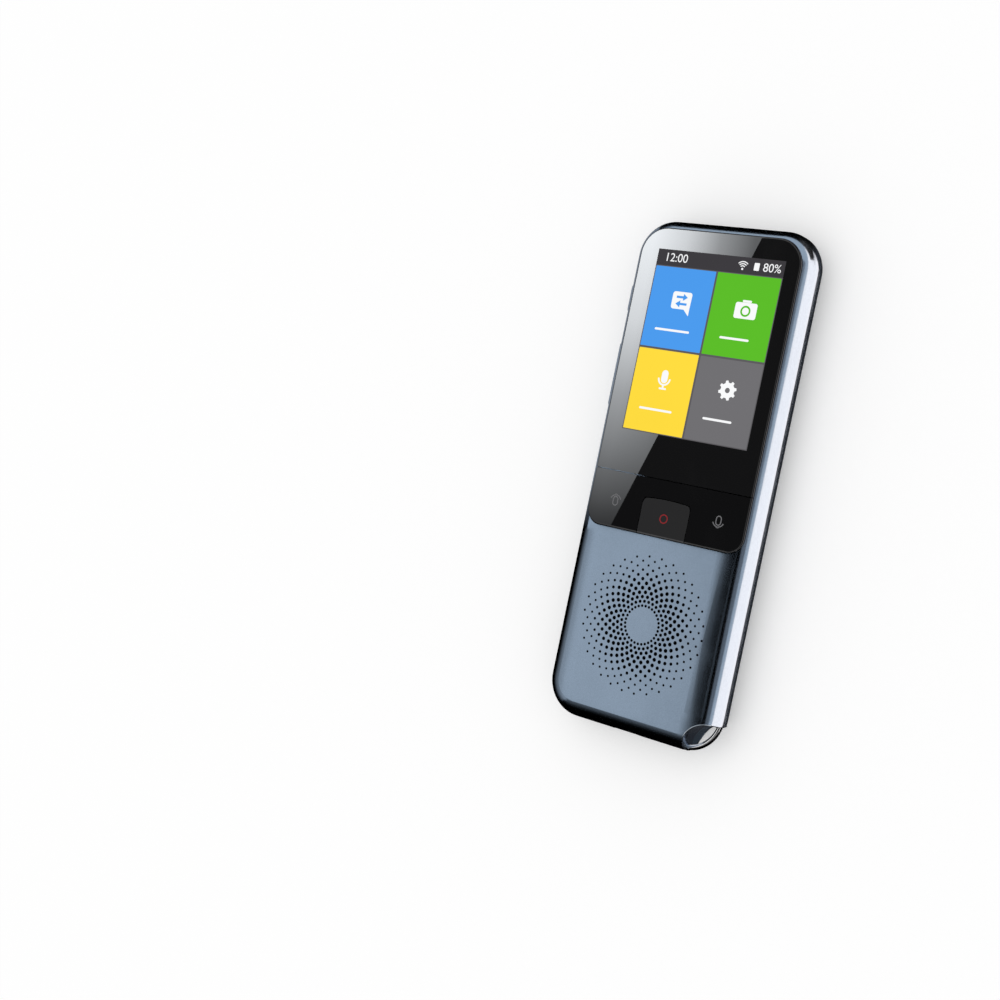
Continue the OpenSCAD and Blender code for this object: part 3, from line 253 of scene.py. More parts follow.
card("left_flag_table", level(-TABLE_REACH, -TABLE_REACH, -SIDE, BLACK_END, TABLE), BLACK)
faded(card("left_flag_wall", side_wall(LEFT_WALL_X, LEFT_WALL_NEAR, BLACK_END, LEFT_BLACK_H), WHITE),
      "Z", *LEFT_RISE)
for name, corners in (("left_card_table", level(-TABLE_REACH, BLACK_END, -SIDE, TABLE_REACH, TABLE)),
                      ("left_card_wall", side_wall(LEFT_WALL_X, BLACK_END, LEFT_WALL_FAR, LEFT_GREY_H))):
    faded(card(name, corners, LOW_GREY), "Y", BLACK_END, GREY_START)
card("near_flag_table", level(-SIDE, -NEAR_REACH, RIGHT_REACH, -END, TABLE), BLACK)
faded(card("near_flag_wall", end_wall(-END - WALL_BACK, NEAR_H), WHITE), "Z", *NEAR_RISE, NEAR_RISE_POWER)
card("far_flag_table", level(-TABLE_REACH, END, RIGHT_REACH, TABLE_REACH, TABLE), BLACK)
card("far_flag_wall", end_wall(END + WALL_BACK, FAR_H), BLACK)

# Under the body: dark along its edges, and a white glow below the middle of its back
EDGE_BLACK = (0.05, 0.05, 0.055)
UNDER_X, UNDER_Y = 18, 62
for name, box in (("left", (-SIDE, -END, -UNDER_X, END)), ("right", (UNDER_X, -END, SIDE, END)),
                  ("near", (-UNDER_X, -END, UNDER_X, -UNDER_Y)),
                  ("far", (-UNDER_X, UNDER_Y, UNDER_X, END))):
    card("under_shade_" + name, level(*box, TABLE), EDGE_BLACK)
back_glow = card("back_glow", level(-UNDER_X, -UNDER_Y, UNDER_X, UNDER_Y, -FLOOR_DROP / 2), WHITE)
back_glow.visible_diffuse = True
back_glow.visible_transmission = True

# High overhead: black on both sides of a dim slot, white further left and grey further right
DIM_GREY = (0.3, 0.3, 0.31)
SLOT_GREY = (0.12, 0.12, 0.12)
OVERHEAD, OVERHEAD_HALF_L = 1200, 900
LEFT_WHITE, LEFT_BLACK, RIGHT_BLACK, RIGHT_GREY = -600, -400, 520, 1225
SLOT, SLOT_NEAR, SLOT_FAR = 80, -330, -60


def overhead(name, left, right, colour, near=-OVERHEAD_HALF_L, far=OVERHEAD_HALF_L):
    """A level card high above the table."""
    return card("overhead_" + name, level(left, near, right, far, OVERHEAD), colour)


overhead("flag_left", LEFT_BLACK, -SLOT, BLACK)
faded(overhead("fade_left", LEFT_WHITE, LEFT_BLACK, WHITE), "X", LEFT_BLACK, LEFT_WHITE)
overhead("flag_right", SLOT, RIGHT_BLACK, BLACK)
overhead("dim_right", RIGHT_BLACK, RIGHT_GREY, DIM_GREY)
overhead("flag_near", -SLOT, SLOT, BLACK, far=SLOT_NEAR)
overhead("flag_far", -SLOT, SLOT, BLACK, near=SLOT_FAR)
overhead("slot", -SLOT, SLOT, SLOT_GREY, SLOT_NEAR, SLOT_FAR)

# The reflector lies beside the right long side and stands up behind it
REFLECTOR_LIGHT = (3.3, 2.65, 2.25)
SHADE_W, SHADE_HALF_L = 3.8, 150
REFLECTOR_NEAR, REFLECTOR_FAR = SIDE + SHADE_W, 50
REFLECTOR_HALF_L, REFLECTOR_H = 170, 22
card("right_shade", level(SIDE, -SHADE_HALF_L, REFLECTOR_NEAR, SHADE_HALF_L, TABLE), EDGE_BLACK)
in_reflector = lit_only(
    "sees_reflector",
    card("reflector_table", level(REFLECTOR_NEAR, -REFLECTOR_HALF_L, REFLECTOR_FAR, REFLECTOR_HALF_L, TABLE),
         REFLECTOR_LIGHT),
    card("reflector_wall", side_wall(REFLECTOR_FAR, -REFLECTOR_HALF_L, REFLECTOR_HALF_L, REFLECTOR_H),
         REFLECTOR_LIGHT))


def in_mm(corners):
    """Corners given in metres, in millimetres."""
    return [[value / MM for value in corner] for corner in corners]


# A window glow for the glass alone: it fades across the panel and ends on a slant. It hangs
# low over the panel, cut to the panel's shape as its reflection shows it to the camera.
(PANEL_LEFT, _, _), (PANEL_RIGHT, PANEL_TOP, PANEL_Z) = in_mm(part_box("display_window"))
KEYS_LOW = in_mm(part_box("talk_rocker"))[0][1]
PANEL_CORNER = 4
CORNER_RUN = 0.8 * PANEL_CORNER
GLOW_COLOUR = (0.93, 0.965, 1)
GLOW_LIGHT = 21
GLOW_HEIGHT, FLAG_HEIGHT = 6, 6.2
GLOW_LEFT, GLOW_LOW, GLOW_TOP = -27, KEYS_LOW + 0.2, 69.5
SLANT_LOW_X, SLANT_TOP_X = -15.5, 12.9
FADE_LOW, FADE_W = -18, 40
FADE_ACROSS = ((0, 1), (0.17, 1), (0.42, 0.75), (0.67, 0.34), (0.92, 0.13))
FADE_ALONG = ((0, 0.02), (0.07, 0.06), (0.2, 0.16), (0.43, 0.4), (0.66, 0.78), (0.92, 1))
FLAG_MARGIN, FLAG_MARGIN_RIGHT = 1, 3
MIRRORED_CAMERA = (CAMERA_PLACE[0], CAMERA_PLACE[1], 2 * PANEL_Z - CAMERA_PLACE[2])


def reflected(points, height):
    """The places at a height above the panel that its points reflect to the camera."""
    grow = height / (PANEL_Z - MIRRORED_CAMERA[2])
    return [(x + (x - MIRRORED_CAMERA[0]) * grow, y + (y - MIRRORED_CAMERA[1]) * grow, PANEL_Z + height)
            for x, y in points]


def ramp(factor, *stops):
    """The output of a colour ramp from pairs of a place and a colour, or a level of grey."""
    node = add(factor.id_data, "ShaderNodeValToRGB", Fac=factor)
    keys = node.color_ramp.elements
    while len(keys) < len(stops):
        keys.new(0.5)
    for key, (position, colour) in zip(keys, stops):
        key.position = position
        key.color = (*colour, 1) if isinstance(colour, tuple) else (colour, colour, colour, 1)
    return node.outputs["Color"]


glow_outline = [(GLOW_LEFT, KEYS_LOW + PANEL_CORNER), (PANEL_LEFT + CORNER_RUN, GLOW_LOW),
                (SLANT_LOW_X, GLOW_LOW), (SLANT_TOP_X, GLOW_TOP), (GLOW_LEFT, GLOW_TOP)]
glow = card("window_glow", reflected(glow_outline, GLOW_HEIGHT), GLOW_COLOUR)
fade = glow.data.uv_layers.new(name="fade")
for loop, (x, y) in zip(glow.data.loops, glow_outline):
    fade.data[loop.index].uv = ((x - GLOW_LEFT) / FADE_W, (y - FADE_LOW) / (GLOW_TOP - FADE_LOW))
tree = glow.data.materials[0].node_tree
fade_place = add(tree, "ShaderNodeUVMap", {"uv_map": "fade"}).outputs["UV"]
across, along, _ = add(tree, "ShaderNodeSeparateXYZ", Vector=fade_place).outputs
light = times(times(ramp(across, *FADE_ACROSS), ramp(along, *FADE_ALONG)), GLOW_LIGHT)
tree.links.new(light, brightness(glow))
in_glow = lit_only("sees_window_glow", glow)
flag_outline = [(PANEL_LEFT - FLAG_MARGIN, KEYS_LOW + PANEL_CORNER), (PANEL_LEFT + CORNER_RUN, KEYS_LOW),
                (PANEL_RIGHT - CORNER_RUN, KEYS_LOW),
                (PANEL_RIGHT + FLAG_MARGIN_RIGHT, KEYS_LOW + PANEL_CORNER),
                (PANEL_RIGHT + FLAG_MARGIN_RIGHT, PANEL_TOP + FLAG_MARGIN),
                (PANEL_LEFT - FLAG_MARGIN, PANEL_TOP + FLAG_MARGIN)]
card("panel_flag", reflected(flag_outline, FLAG_HEIGHT), BLACK)


# ---- Painted shells --------------------------------------
# Two shells moulded in polycarbonate and sprayed with a satin metallic paint: slate blue in
# front, with the side keys, and a paler blue behind. They snap together at the parting line.
FLOAT, COLOUR, VECTOR = "NodeSocketFloat", "NodeSocketColor", "NodeSocketVector"
OUTPUT_KINDS = {"Colour": COLOUR, "Roughness": FLOAT, "Normal": VECTOR}


def finish_group(name, **inputs):
    """A shader node group of one finish, its input sockets, and the place on the object."""
    group = bpy.data.node_groups.new(name, "ShaderNodeTree")
    for socket_name, value in inputs.items():
        kind = FLOAT if isinstance(value, float) else COLOUR if len(value) == 4 else VECTOR
        socket = group.interface.new_socket(socket_name.replace("_", " "), in_out="INPUT", socket_type=kind)
        socket.default_value = value
    return group, group.nodes.new("NodeGroupInput").outputs, object_place(group)


def give_out(group, **outputs):
    """Ends a group with its named outputs."""
    for name in outputs:
        group.interface.new_socket(name, in_out="OUTPUT", socket_type=OUTPUT_KINDS[name])
    leave = group.nodes.new("NodeGroupOutput")
    for name, source in outputs.items():
        group.links.new(source, leave.inputs[name])


def noise(place, scale, detail=2.0, roughness=0.5, stretch=None):
    """The value of a noise with so many features to the metre, stretched along an axis."""
    tree = place.id_data
    if stretch:
        place = add(tree, "ShaderNodeMapping", Vector=place, Scale=stretch).outputs[0]
    return add(tree, "ShaderNodeTexNoise", Vector=place, Scale=scale, Detail=detail,
               Roughness=roughness).outputs[0]


def cells(place, scale, settings=None, **sockets):
    """The outputs of a Voronoi pattern with so many cells to the metre."""
    return add(place.id_data, "ShaderNodeTexVoronoi", settings, Vector=place, Scale=scale, **sockets).outputs


def shade(colour, level_here):
    """A colour made lighter or darker by a factor."""
    return add(colour.id_data, "ShaderNodeVectorMath", {"operation": "SCALE"}, Vector=colour,
               Scale=level_here).outputs[0]


def bump(height, depth):
    """A normal bumped by a height between 0 and 1, its depth in metres."""
    return add(height.id_data, "ShaderNodeBump", Height=height, Distance=depth, Strength=1.0).outputs[0]


# Flakes and orange peel of the paint, a faint mottle, and rubbed paint at the parting line
SEAM_Z = 5
satin_paint, given, place = finish_group("satin_paint", Colour=(0.2, 0.3, 0.4, 1), Roughness=0.25,
                                         Flake=0.08, Peel=0.000002, Seam_height=SEAM_Z * MM)
flake_tone = add(satin_paint, "ShaderNodeSeparateColor", Color=cells(place, 9000.0)["Color"]).outputs[0]
flake_level = times_plus(calc("SUBTRACT", flake_tone, 0.5), times(given["Flake"], 2), 1)
mottle = between(noise(place, 60, 3), 0.3, 0.7, 0.985, 1.015)
height = add(satin_paint, "ShaderNodeSeparateXYZ", Vector=place).outputs["Z"]
from_seam = calc("ABSOLUTE", calc("SUBTRACT", height, given["Seam height"]))
rubbed = times(between(from_seam, 0, 0.0005, 1, 0, smooth=True),
               between(noise(place, 350, 4), 0.52, 0.66, 0, 1, smooth=True))
tone = times_plus(rubbed, 0.2, times(flake_level, mottle))
smudge = between(noise(place, 90, 4), 0.45, 0.75, -0.015, 0.03)
rough = calc("ADD", given["Roughness"], smudge)
give_out(satin_paint, Colour=shade(given["Colour"], tone), Roughness=times_plus(rubbed, 0.12, rough),
         Normal=bump(noise(place, 2600, 2), given["Peel"]))


def cover(tree, **principled):
    """Ends a material in a Principled BSDF."""
    bsdf = add(tree, "ShaderNodeBsdfPrincipled", **principled)
    add(tree, "ShaderNodeOutputMaterial", Surface=bsdf.outputs[0])


def finish(name, group, surface, **principled):
    """A material of one finish group, with the constants of its Principled BSDF."""
    material, tree = blank_material(name)
    coat = add(tree, "ShaderNodeGroup", {"node_tree": group}, **surface).outputs
    cover(tree, Base_Color=coat["Colour"], Roughness=coat["Roughness"], Normal=coat["Normal"], **principled)
    return material


def dress(material, *names):
    """Gives CAD nodes a material."""
    for name in names:
        nodes[name].data.materials.clear()
        nodes[name].data.materials.append(material)


FRONT_BLUE, BACK_BLUE = (0.245, 0.318, 0.412), (0.40, 0.56, 0.69)
CLEAR_COAT = {"Metallic": 1.0, "Coat_Weight": 0.1, "Coat_Roughness": 0.1}
FRONT_PAINTED = ("front_housing", "power_key", "volume_rocker")
dress(finish("front_paint", satin_paint, {"Colour": FRONT_BLUE, "Roughness": 0.18}, **CLEAR_COAT),
      *FRONT_PAINTED)
dress(finish("back_paint", satin_paint, {"Colour": BACK_BLUE, "Roughness": 0.2}, **CLEAR_COAT),
      "back_housing")
for name in FRONT_PAINTED:
    in_reflector.objects.link(nodes[name])


# ---- Parting seam and notch rims -------------------------
# The shells meet at a groove, drawn as a dark bead of painted shade that runs round the body
# and stops at the lanyard notch.
# The notch is cut after painting, so its rim shows as a bright bevel on both shells.
GEOMETRY, MATERIAL, COUNT = "NodeSocketGeometry", "NodeSocketMaterial", "NodeSocketInt"


def geometry_tree(name, **inputs):
    """A Geometry Nodes tree with named inputs, the last a material, and its input sockets."""
    tree = bpy.data.node_groups.new(name, "GeometryNodeTree")
    for socket_name, kind in {"Geometry": GEOMETRY, **inputs, "Material": MATERIAL}.items():
        tree.interface.new_socket(socket_name.replace("_", " "), in_out="INPUT", socket_type=kind)
    tree.interface.new_socket("Geometry", in_out="OUTPUT", socket_type=GEOMETRY)
    return tree, tree.nodes.new("NodeGroupInput").outputs


def hand_over(tree, geometry, material):
    """Ends a tree with real geometry in the material that comes in."""
    real = add(tree, "GeometryNodeRealizeInstances", Geometry=geometry)
    clad = add(tree, "GeometryNodeSetMaterial", Geometry=real.outputs[0], Material=material)
    tree.links.new(clad.outputs[0], tree.nodes.new("NodeGroupOutput").inputs["Geometry"])


WELD = 0.0005


def outwards(mesh):
    """Welds a closed mesh and turns its faces outwards."""
    shell = bmesh.new()
    shell.from_mesh(mesh)
    bmesh.ops.remove_doubles(shell, verts=shell.verts, dist=WELD * MM)
    bmesh.ops.recalc_face_normals(shell, faces=shell.faces)
    shell.to_mesh(mesh)
    shell.free()


def shown_mesh(item):
    """A mesh of what an object shows."""
    bpy.context.view_layer.update()
    return bpy.data.meshes.new_from_object(item.evaluated_get(bpy.context.evaluated_depsgraph_get()))


def grown(name, tree, mesh=None, **values):
    """A plain mesh piece that a Geometry Nodes tree grows, from a mesh or from nothing."""
    piece = in_scene(name, mesh or bpy.data.meshes.new(name))
    modifier = piece.modifiers.new(tree.name, "NODES")
    modifier.node_group = tree
    for item in tree.interface.items_tree:
        if item.in_out == "INPUT" and item.name.replace(" ", "_") in values:
            modifier[item.identifier] = values[item.name.replace(" ", "_")]
    done = shown_mesh(piece)
    piece.modifiers.clear()
    piece.data = done
    outwards(done)
    return piece


def settle(piece, body):
    """Names the body that a new piece rides on."""
    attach(piece, body)


bead, given = geometry_tree("bead_along_path", Radius=FLOAT, Sides=COUNT)
path = add(bead, "GeometryNodeMeshToCurve", Mesh=given["Geometry"])
circle = add(bead, "GeometryNodeCurvePrimitiveCircle", Resolution=given["Sides"], Radius=given["Radius"])
tube = add(bead, "GeometryNodeCurveToMesh", Curve=path.outputs[0], Profile_Curve=circle.outputs[0],
           Fill_Caps=True)
hand_over(bead, tube.outputs[0], given["Material"])


def path_mesh(name, points, closed=True):
    """Edges through points in millimetres."""
    mesh = bpy.data.meshes.new(name)
    count = len(points)
    mesh.from_pydata([Vector(point) * MM for point in points],
                     [(i, (i + 1) % count) for i in range(count if closed else count - 1)], [])
    return mesh


def arc(x, y, radius, start, end, steps=12):
    """Points along an arc round a place, its ends included, in degrees and millimetres."""
    turns = [math.radians(start + (end - start) * i / steps) for i in range(steps + 1)]
    return [(x + radius * math.cos(turn), y + radius * math.sin(turn)) for turn in turns]


# Fine grain and mottle of moulded plastic, rubber, foam and paper
moulded_grain, given, place = finish_group("moulded_grain", Colour=(0.1, 0.1, 0.1, 1), Roughness=0.5,
                                           Grain=3000.0, Depth=0.00001, Mottle=0.06)
grain = noise(place, given["Grain"], 3, 0.6)
speck = times_plus(noise(place, 140, 4), 0.7, times(grain, 0.3))
swing = times(calc("SUBTRACT", speck, 0.5), 2)
give_out(moulded_grain, Colour=shade(given["Colour"], times_plus(swing, given["Mottle"], 1)),
         Roughness=times_plus(swing, 0.06, given["Roughness"]), Normal=bump(grain, given["Depth"]))


def moulded(name, colour, roughness, **grain):
    """A moulded plastic, rubber, foam or paper."""
    return finish(name, moulded_grain, {"Colour": colour, "Roughness": roughness, **grain}, Metallic=0.0)


# Drawing lines, polish scratches and tarnish of metal; Lines stretches them along an axis
drawn_metal, given, place = finish_group("drawn_metal", Colour=(0.7, 0.7, 0.7, 1), Roughness=0.2,
                                         Lines=(1, 0.04, 1), Depth=0.000002, Tarnish=0.08)
drawn = fed(drawn_metal, "ShaderNodeVectorMath", {"operation": "MULTIPLY"}, place, given["Lines"])
lines = noise(drawn.outputs[0], 7000, 3)
stain = between(noise(place, 220, 5), 0.45, 0.75, 0, 1, smooth=True)
tone = times(calc("SUBTRACT", 1, times(stain, given["Tarnish"])), between(lines, 0.3, 0.7, 0.96, 1.04))
rough = times_plus(stain, 0.08, given["Roughness"])
give_out(drawn_metal, Colour=shade(given["Colour"], tone), Roughness=times_plus(lines, 0.04, rough),
         Normal=bump(lines, given["Depth"]))


def metal(name, colour, roughness, **surface):
    """A bare or plated metal."""
    return finish(name, drawn_metal, {"Colour": colour, "Roughness": roughness, **surface}, Metallic=1.0)


HALF_W, HALF_L, BODY_T = in_mm(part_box("front_housing"))[1]
CORNER_R = 10
CORNER_X, CORNER_Y = HALF_W - CORNER_R, HALF_L - CORNER_R
BEAD_SIDES = 8
SEAM_R = 0.2
SEAM_INSET = 0.23
NOTCH_SPAN = 9.5
seam_r = CORNER_R - SEAM_INSET
seam_path = (arc(CORNER_X, -CORNER_Y, seam_r, -NOTCH_SPAN, 0, 2) + arc(CORNER_X, CORNER_Y, seam_r, 0, 90)
             + arc(-CORNER_X, CORNER_Y, seam_r, 90, 180) + arc(-CORNER_X, -CORNER_Y, seam_r, 180, 270)
             + arc(CORNER_X, -CORNER_Y, seam_r, -90, -90 + NOTCH_SPAN, 2))
seam_mesh = path_mesh("parting_seam", [(x, y, SEAM_Z) for x, y in seam_path], closed=False)
# The bead's near-black colour and low sheen are painted shade of the gap between the shells
groove_shade = finish("parting_groove", moulded_grain, {"Colour": (0.012, 0.014, 0.017), "Roughness": 0.7},
                Metallic=0.0, Specular_IOR_Level=0.1)
settle(grown("parting_seam", bead, seam_mesh, Radius=SEAM_R * MM, Sides=BEAD_SIDES, Material=groove_shade),
       "case")

# Where the notch's round wall meets the rolled faces, given by the roll's and the crown's arcs.
# INTO_BODY is the way from the notch's centre to the body, in degrees.
NOTCH_OUT = 1.9
NOTCH_R = 6.9
INTO_BODY = 135
RIM_STEPS = 30
RIM_R = 0.13
CROWN_R = 40
FRONT_CROWN_START, FRONT_ROLL_R = 1, 4.8
BACK_CROWN_START, BACK_ROLL_R = 0.5, 5.8
notch_far = CORNER_R + NOTCH_OUT
notch_x, notch_y = CORNER_X + notch_far * math.sqrt(0.5), -CORNER_Y - notch_far * math.sqrt(0.5)


def face_depth(distance, crown_start, roll_r):
    """How far a rolled face lies below its flat at a distance from the corner's centre."""
    roll_x = CORNER_R - roll_r
    join = crown_start + CROWN_R * (roll_x - crown_start) / (CROWN_R - roll_r)
    if distance < join:
        return CROWN_R - math.sqrt(CROWN_R ** 2 - max(0, distance - crown_start) ** 2)
    centre_depth = CROWN_R - math.sqrt((CROWN_R - roll_r) ** 2 - (roll_x - crown_start) ** 2)
    return centre_depth - math.sqrt(max(0, roll_r ** 2 - (distance - roll_x) ** 2))


def rim_line(crown_start, roll_r, start, end, flat_z, inwards):
    """One face's stretch of the notch rim: inwards is -1 where the body lies below the flat."""
    line = []
    for x, y in arc(notch_x, notch_y, NOTCH_R, start, end, RIM_STEPS):
        distance = min(math.hypot(x - CORNER_X, y + CORNER_Y), CORNER_R)
        line.append((x, y, flat_z + inwards * face_depth(distance, crown_start, roll_r)))
    return line


rim_half = math.degrees(math.acos((NOTCH_R ** 2 + notch_far ** 2 - CORNER_R ** 2)
                                  / (2 * NOTCH_R * notch_far)))
rim_start, rim_end = INTO_BODY - rim_half, INTO_BODY + rim_half
rim_path = (rim_line(FRONT_CROWN_START, FRONT_ROLL_R, rim_start, rim_end, BODY_T, -1)
            + rim_line(BACK_CROWN_START, BACK_ROLL_R, rim_end, rim_start, 0, 1))
settle(grown("notch_rim", bead, path_mesh("notch_rim", rim_path), Radius=RIM_R * MM, Sides=BEAD_SIDES,
             Material=metal("cut_bevel", (0.62, 0.68, 0.74), 0.16)), "case")
polished_steel = metal("polished_steel", (0.8, 0.8, 0.81), 0.07, Depth=0.0000006)
dress(polished_steel, "lanyard_bar")


# ---- Glass front and keys --------------------------------
# A black-backed window is glued into the front shell; below it a black talk rocker arches
# round the centre key. All three are polished and carry light smears from fingers.
handled_gloss, given, place = finish_group("handled_gloss", Colour=(0.01, 0.01, 0.01, 1), Roughness=0.03,
                                           Smear=0.02, Wave=0.000001)
smear = between(noise(place, 55, 5, 0.6, (1, 0.5, 1)), 0.5, 0.72, 0, 1, smooth=True)
hairline = between(noise(place, 3000, 2, 0.5, (1, 0.015, 1)), 0.7, 0.8, 0, 1)
marked = times_plus(hairline, 0.6, smear)
give_out(handled_gloss, Colour=shade(given["Colour"], times_plus(smear, 0.25, 1)),
         Roughness=times_plus(marked, given["Smear"], given["Roughness"]),
         Normal=bump(noise(place, 25, 1), given["Wave"]))


def gloss(name, colour, roughness, ior=1.5, **principled):
    """A polished glass or plastic that has been handled."""
    return finish(name, handled_gloss, {"Colour": colour, "Roughness": roughness}, Metallic=0.0, IOR=ior,
                  **principled)


for name, black in (("display_window", gloss("window_black", (0.009, 0.009, 0.0095), 0.03)),
                    ("talk_rocker", gloss("key_black", (0.007, 0.007, 0.0075), 0.05)),
                    ("centre_key", gloss("centre_black", (0.03, 0.03, 0.031), 0.09))):
    dress(black, name)
    in_glow.objects.link(nodes[name])


# ---- Screen ----------------------------------------------
# The lit display shows a status bar and four coloured tiles, each with a white symbol over
# a plain bar. It reads as printed on the window, so it lies on its face as thin sheets.
lit_pixels, given, place = finish_group("lit_pixels", Colour=(1, 1, 1, 1))
cloud = between(noise(place, 30, 2), 0.3, 0.7, 0.985, 1.015)
pixels = cells(place, 12000.0, {"distance": "CHEBYCHEV"}, Randomness=0.0)["Distance"]
give_out(lit_pixels, Colour=shade(given["Colour"], times(cloud, between(pixels, 0.3, 0.5, 1.01, 0.97))),
         Normal=bump(pixels, 0.0000004))


def lit(name, *seen):
    """A lit screen colour from its red, green and blue as they are seen, out of 255."""
    material, tree = blank_material(name)
    linear = [((value / 255 + 0.055) / 1.055) ** 2.4 for value in seen]  # the sRGB curve
    glowing = add(tree, "ShaderNodeGroup", {"node_tree": lit_pixels}, Colour=linear).outputs
    cover(tree, Base_Color=(0.004, 0.004, 0.004), Roughness=0.35, Specular_IOR_Level=0.15,
          Emission_Color=glowing["Colour"], Emission_Strength=1.0, Normal=glowing["Normal"])
    material.cycles.emission_sampling = "NONE"
    return material


def disc(x, y, radius, count=28):
    """Outline of a disc."""
    return arc(x, y, radius, 0, 360 - 360 / count, count - 1)


BAR_STEPS = 5


def bar(x, y, width, height, radius=None):
    """Outline of a bar with rounded corners, centred on a point."""
    radius = min(width, height) / 2 if radius is None else radius
    points = []
    for side_x, side_y, start in ((1, 1, 0), (-1, 1, 90), (-1, -1, 180), (1, -1, 270)):
        points += arc(x + side_x * (width / 2 - radius), y + side_y * (height / 2 - radius), radius,
                      start, start + 90, BAR_STEPS)
    return points


def band(x, y, outer, inner, start, end, steps):
    """Outline of a bent band between two radii."""
    return arc(x, y, outer, start, end, steps) + arc(x, y, inner, end, start, steps)


def flat_mesh(name, curve, x, y, low, high, material):
    """A flat curve or text made a mesh at its place in millimetres."""
    curve.extrude = (high - low) / 2 * MM
    drawing = in_scene(name, curve)
    mesh = shown_mesh(drawing)
    bpy.data.objects.remove(drawing)
    mesh.transform(Matrix.Translation(Vector((x, y, (low + high) / 2)) * MM))
    mesh.materials.clear()
    mesh.materials.append(material)
    outwards(mesh)
    return in_scene(name, mesh)


def sheet_piece(name, outlines, low, high, material):
    """A thin flat piece from outlines in millimetres; an outline inside another is a hole."""
    curve = bpy.data.curves.new(name, "CURVE")
    curve.dimensions = "2D"
    curve.fill_mode = "BOTH"
    for outline in outlines:
        spline = curve.splines.new("POLY")
        spline.points.add(len(outline) - 1)
        for point, (x, y) in zip(spline.points, outline):
            point.co = (x * MM, y * MM, 0, 1)
        spline.use_cyclic_u = True
    return flat_mesh(name, curve, 0, 0, low, high, material)


SHEET = 0.006
SHEET_CORNER = 0.15


def screen_sheet(name, across, along, layer, material):
    """A rectangle of the screen, in its layer above the window's face."""
    (left, right), (low, high) = across, along
    outline = bar((left + right) / 2, (low + high) / 2, right - left, high - low, SHEET_CORNER)
    bottom = PANEL_Z + (layer - 1) * SHEET
    settle(sheet_piece(name, [outline], bottom, bottom + SHEET, material), "case")


SCREEN_X, SCREEN_Y = (-18.1, 19.5), (10.7, 59.5)
STATUS_LOW = 55.2
SPLIT_X, SPLIT_Y = 0.65, 33.15
HALF_GAP = 0.55 / 2
EDGE = 0.25
LEFT_TILES, RIGHT_TILES = (SCREEN_X[0] + EDGE, SPLIT_X - HALF_GAP), (SPLIT_X + HALF_GAP, SCREEN_X[1] - EDGE)
LOW_TILES, HIGH_TILES = (SCREEN_Y[0] + EDGE, SPLIT_Y - HALF_GAP), (SPLIT_Y + HALF_GAP, STATUS_LOW - EDGE)
for name, across, along, layer, seen in (
        ("screen_field", SCREEN_X, SCREEN_Y, 1, (92, 90, 93)),
        ("status_bar", SCREEN_X, (STATUS_LOW, SCREEN_Y[1]), 2, (60, 58, 62)),
        ("tile_blue", LEFT_TILES, HIGH_TILES, 2, (75, 155, 238)),
        ("tile_green", RIGHT_TILES, HIGH_TILES, 2, (91, 189, 39)),
        ("tile_yellow", LEFT_TILES, LOW_TILES, 2, (255, 220, 62)),
        ("tile_grey", RIGHT_TILES, LOW_TILES, 2, (112, 111, 114))):
    screen_sheet(name, across, along, layer, lit(name, *seen))


def bubble(x, y, width, height, radius):
    """Outline of a speech bubble: a bar whose lower right corner runs out in a tail."""
    tail = [(x + 1.1, y - height / 2), (x + 2.8, y - 3.9), (x + 2.8, y - 2)]
    return bar(x, y, width, height, radius)[:-BAR_STEPS - 1] + tail


def arrow(x, y, length, side):
    """Outline of a level arrow."""
    shape = [(-0.5, -0.09), (0.1, -0.09), (0.1, -0.28), (0.5, 0), (0.1, 0.28), (0.1, 0.09), (-0.5, 0.09)]
    return [(x + side * length * px, y + length * py) for px, py in shape]


def microphone_cup(x, y, size):
    """Outline of the cup, stem and foot of a microphone symbol, in one piece."""
    outer, inner = 0.36 * size, 0.27 * size
    foot = [(-0.05, -0.46), (-0.2, -0.46), (-0.2, -0.55), (0.2, -0.55), (0.2, -0.46), (0.05, -0.46)]
    return (arc(x, y, outer, 180, 262, 8) + [(x + size * px, y + size * py) for px, py in foot]
            + arc(x, y, outer, 278, 360, 8) + arc(x, y, inner, 360, 180, 14))


def gear(x, y, radius, teeth):
    """Outline of a toothed wheel."""
    points = []
    for tooth in range(teeth):
        for share, reach in ((0, 0.78), (0.14, 1), (0.46, 1), (0.6, 0.78)):
            turn = 2 * math.pi * (tooth + share) / teeth
            points.append((x + reach * radius * math.cos(turn), y + reach * radius * math.sin(turn)))
    return points


# Two arrows in a bubble, a camera, a microphone and a gear; a bar under each for its word;
# the battery and the signal of the status bar
TALK_X, TALK_Y = -8.1, 46.4
ARROW_L, ARROW_RISE = 3.4, 0.9
PHOTO_X, PHOTO_Y = 11, 45.7
LENS_OUTER, LENS_INNER = 1.45, 0.95
VOICE_X, VOICE_Y, VOICE_SIZE = -8.4, 25.5, 5.4
GEAR_PLACE, GEAR_R, GEAR_TEETH, GEAR_BORE = (10.6, 25), 2.6, 8, 0.7
WORDS = ((-9.2, 38.3, 10.5), (9.4, 38.3, 8.5), (-9.2, 17, 10), (9.4, 17, 8.5))
WORD_H = 0.6
BATTERY_PLACE = (11.6, 57.3)
SIGNAL_PLACE, SIGNAL_DOT = (7.6, 56.4), 0.3
SIGNAL_ARCS = ((0.95, 0.68), (1.5, 1.23), (2.05, 1.78))
